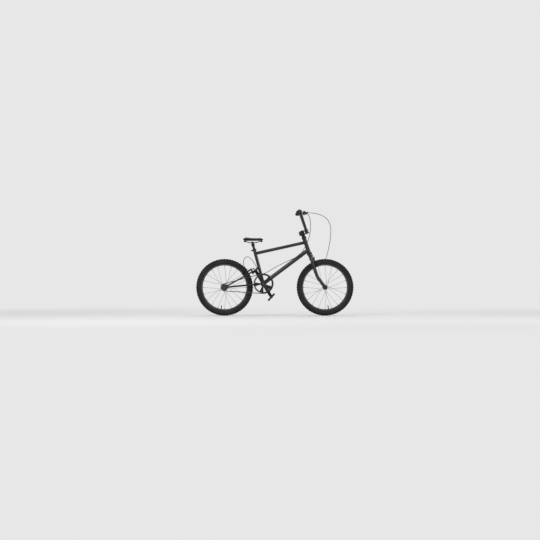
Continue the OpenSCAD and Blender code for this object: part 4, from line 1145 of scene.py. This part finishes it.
def makeSaddleStitches(s, cover):
    threads = []
    for side in bothSides:
        line = seamLine(s, side, s["stitchPoints"])
        walked, due = 0.0, 0.0
        for (x0, y0), (x1, y1) in zip(line, line[1:]):
            walked += math.hypot(x1 - x0, y1 - y0)
            if walked < due:
                continue
            due += s["stitchStep"]
            run = Vector((x1 - x0, y1 - y0, 0)).normalized()
            aside = Vector((-run.y, run.x, 0)) * side * s["stitchAside"]
            pts = stitchLine(s, cover, Vector((x1, y1, 0)) + aside, run)
            if len(pts) == len(s["stitchRise"]):
                threads.append(tubeAlong("stitch", pts, s["threadRadius"], s["threadSides"]))
    stitches = joinAll("saddleStitches", threads)
    finishPiece(stitches, "seat", "seamThread", (), s["threadSmooth"])


def makeSaddlePiping(s):
    shares = [s["pipeFrom"] + s["pipeSpan"] * i / s["pipeSteps"] for i in range(s["pipeSteps"] + 1)]
    line = []
    for side, row in ((1, shares), (-1, shares[::-1])):
        for u in row:
            y = side * s["pipeShare"] * saddleHalf(s, u)
            line.append(Vector((s["tail"] + s["length"] * u, y, s["pipeHeight"])))
    piping = tubeAlong("saddlePiping", line, s["pipeRadius"], closed=True)
    finishPiece(piping, "seat", "saddleVinyl")


saddleCover = makeSaddle(saddleSet)
makeSaddleStitches(saddleSet, saddleCover)
makeSaddlePiping(saddleSet)
print("saddle done")

# machined pieces get rounded edges, each as wide as its entry says
edgeSet = {"weld": 2e-6, "flat": 0.4, "sharp": 38, "segments": 2, "smooth": 35}
edgeWidth = {
    "stem_body": 0.0012, "stem_faceplate": 0.0010, "crank_arms": 0.0016, "pedal_left": 0.0009,
    "pedal_right": 0.0009, "brake_lever_left": 0.0022, "brake_lever_right": 0.0022, "lever_clamps": 0.0008,
    "seat_clamp": 0.0007, "saddle_clamp": 0.0007, "front_brake_arm_left": 0.0012,
    "front_brake_arm_right": 0.0012, "rear_brake_arm_left": 0.0012, "rear_brake_arm_right": 0.0012,
    "chain_stays": 0.0008, "chainring": 0.0005,
}


def camel(name):
    head, *rest = name.split("_")
    return head + "".join(w.capitalize() for w in rest)


def roundEdges(s, node, width):
    piece = looseCopy(node, camel(node) + "Rounded")
    editAll(piece)
    bpy.ops.mesh.remove_doubles(threshold=s["weld"])
    bpy.ops.mesh.dissolve_limited(angle_limit=math.radians(s["flat"]))
    endEdit()
    edge = piece.modifiers.new("edge", "BEVEL")
    edge.width = width
    edge.segments = s["segments"]
    edge.limit_method = "ANGLE"
    edge.angle_limit = math.radians(s["sharp"])
    edge.harden_normals = False
    applyLast(piece)
    editAll(piece)
    bpy.ops.mesh.remove_doubles(threshold=s["weld"])
    bpy.ops.mesh.quads_convert_to_tris()
    endEdit()
    finishPiece(piece, bodyOf[node], finishOf(node), [node], s["smooth"])


for name, width in edgeWidth.items():
    roundEdges(edgeSet, name, width)
print("rounded pieces:", len(edgeWidth))

# plain pale floor and soft studio light
stageSet = {
    "floorRadius": 40, "floorSides": 96, "floorTone": (0.79, 0.79, 0.79), "floorRough": 0.9, "floorSpec": 0.1,
    "mottle": (3, 3), "mottleShare": (0.985, 1.0),
    "sky": (0.80, 0.80, 0.80), "fade": (1.4, 5.0),  # metres over which the floor turns to sky
    "worldLight": (0.46, 0.46, 0.47), "aim": (0, 0, 0.45),
    # place, size, watts
    "lamps": {"keyLamp": ((-2.4, -3.8, 3.4), 2.6, 105), "fillLamp": ((3.6, -2.6, 2.2), 2.4, 42),
              "backLamp": ((0.6, 4.2, 3.2), 3.0, 62), "topLamp": ((0.2, 0.2, 4.6), 2.4, 34)},
}


def linkMix(tree, share, first, second, output):
    mixed = feed(tree, tree.nodes.new("ShaderNodeMixShader"), {0: share, 1: first, 2: second})[0]
    feed(tree, tree.nodes[output], {"Surface": mixed})


def makeFloor(s):
    floor = newCircle(s["floorSides"], s["floorRadius"], fill_type="NGON")
    floor.name = floor.data.name = "paleFloor"
    mat, tree, shader, coord = startMaterial("paleFloor")
    length = tree.nodes.new("ShaderNodeVectorMath")
    length.operation = "LENGTH"
    away = feed(tree, length, {0: coord})["Value"]
    mottle = noiseBand(tree, coord, s["mottle"], noiseSpan, *s["mottleShare"])
    levels = {i: product(tree, mottle, level) for i, level in enumerate(s["floorTone"])}
    tone = feed(tree, tree.nodes.new("ShaderNodeCombineColor"), levels)[0]
    feed(tree, shader, {"Base Color": tone, "Roughness": s["floorRough"],
                        "Specular IOR Level": s["floorSpec"]})
    glow = feed(tree, tree.nodes.new("ShaderNodeEmission"), {"Color": s["sky"]})[0]
    linkMix(tree, mapRange(tree, away, *s["fade"]), shader.outputs[0], glow, "Material Output")
    floor.data.materials.append(mat)


def makeWorld(s):
    world = bpy.data.worlds.new("studio")
    scene.world = world
    world.use_nodes = True
    tree = world.node_tree
    light = feed(tree, tree.nodes["Background"], {"Color": s["worldLight"]})[0]
    seen = feed(tree, tree.nodes.new("ShaderNodeBackground"), {"Color": s["sky"]})[0]
    path = tree.nodes.new("ShaderNodeLightPath")
    straight = path.outputs["Is Camera Ray"]
    for ray in ("Is Glossy Ray", "Is Transmission Ray"):
        straight = mathNode(tree, "MAXIMUM", straight, path.outputs[ray])
    linkMix(tree, straight, light, seen, "World Output")


def makeLamps(s):
    for name, (at, size, watts) in s["lamps"].items():
        turn = (Vector(s["aim"]) - Vector(at)).to_track_quat("-Z", "Y").to_euler()
        bpy.ops.object.light_add(type="AREA", location=at, rotation=turn)
        lamp = bpy.context.object
        lamp.name = lamp.data.name = name
        lamp.data.size = size
        lamp.data.energy = watts


makeFloor(stageSet)
makeWorld(stageSet)
makeLamps(stageSet)
clearSelection()
print("stage done")

bpy.context.view_layer.update()
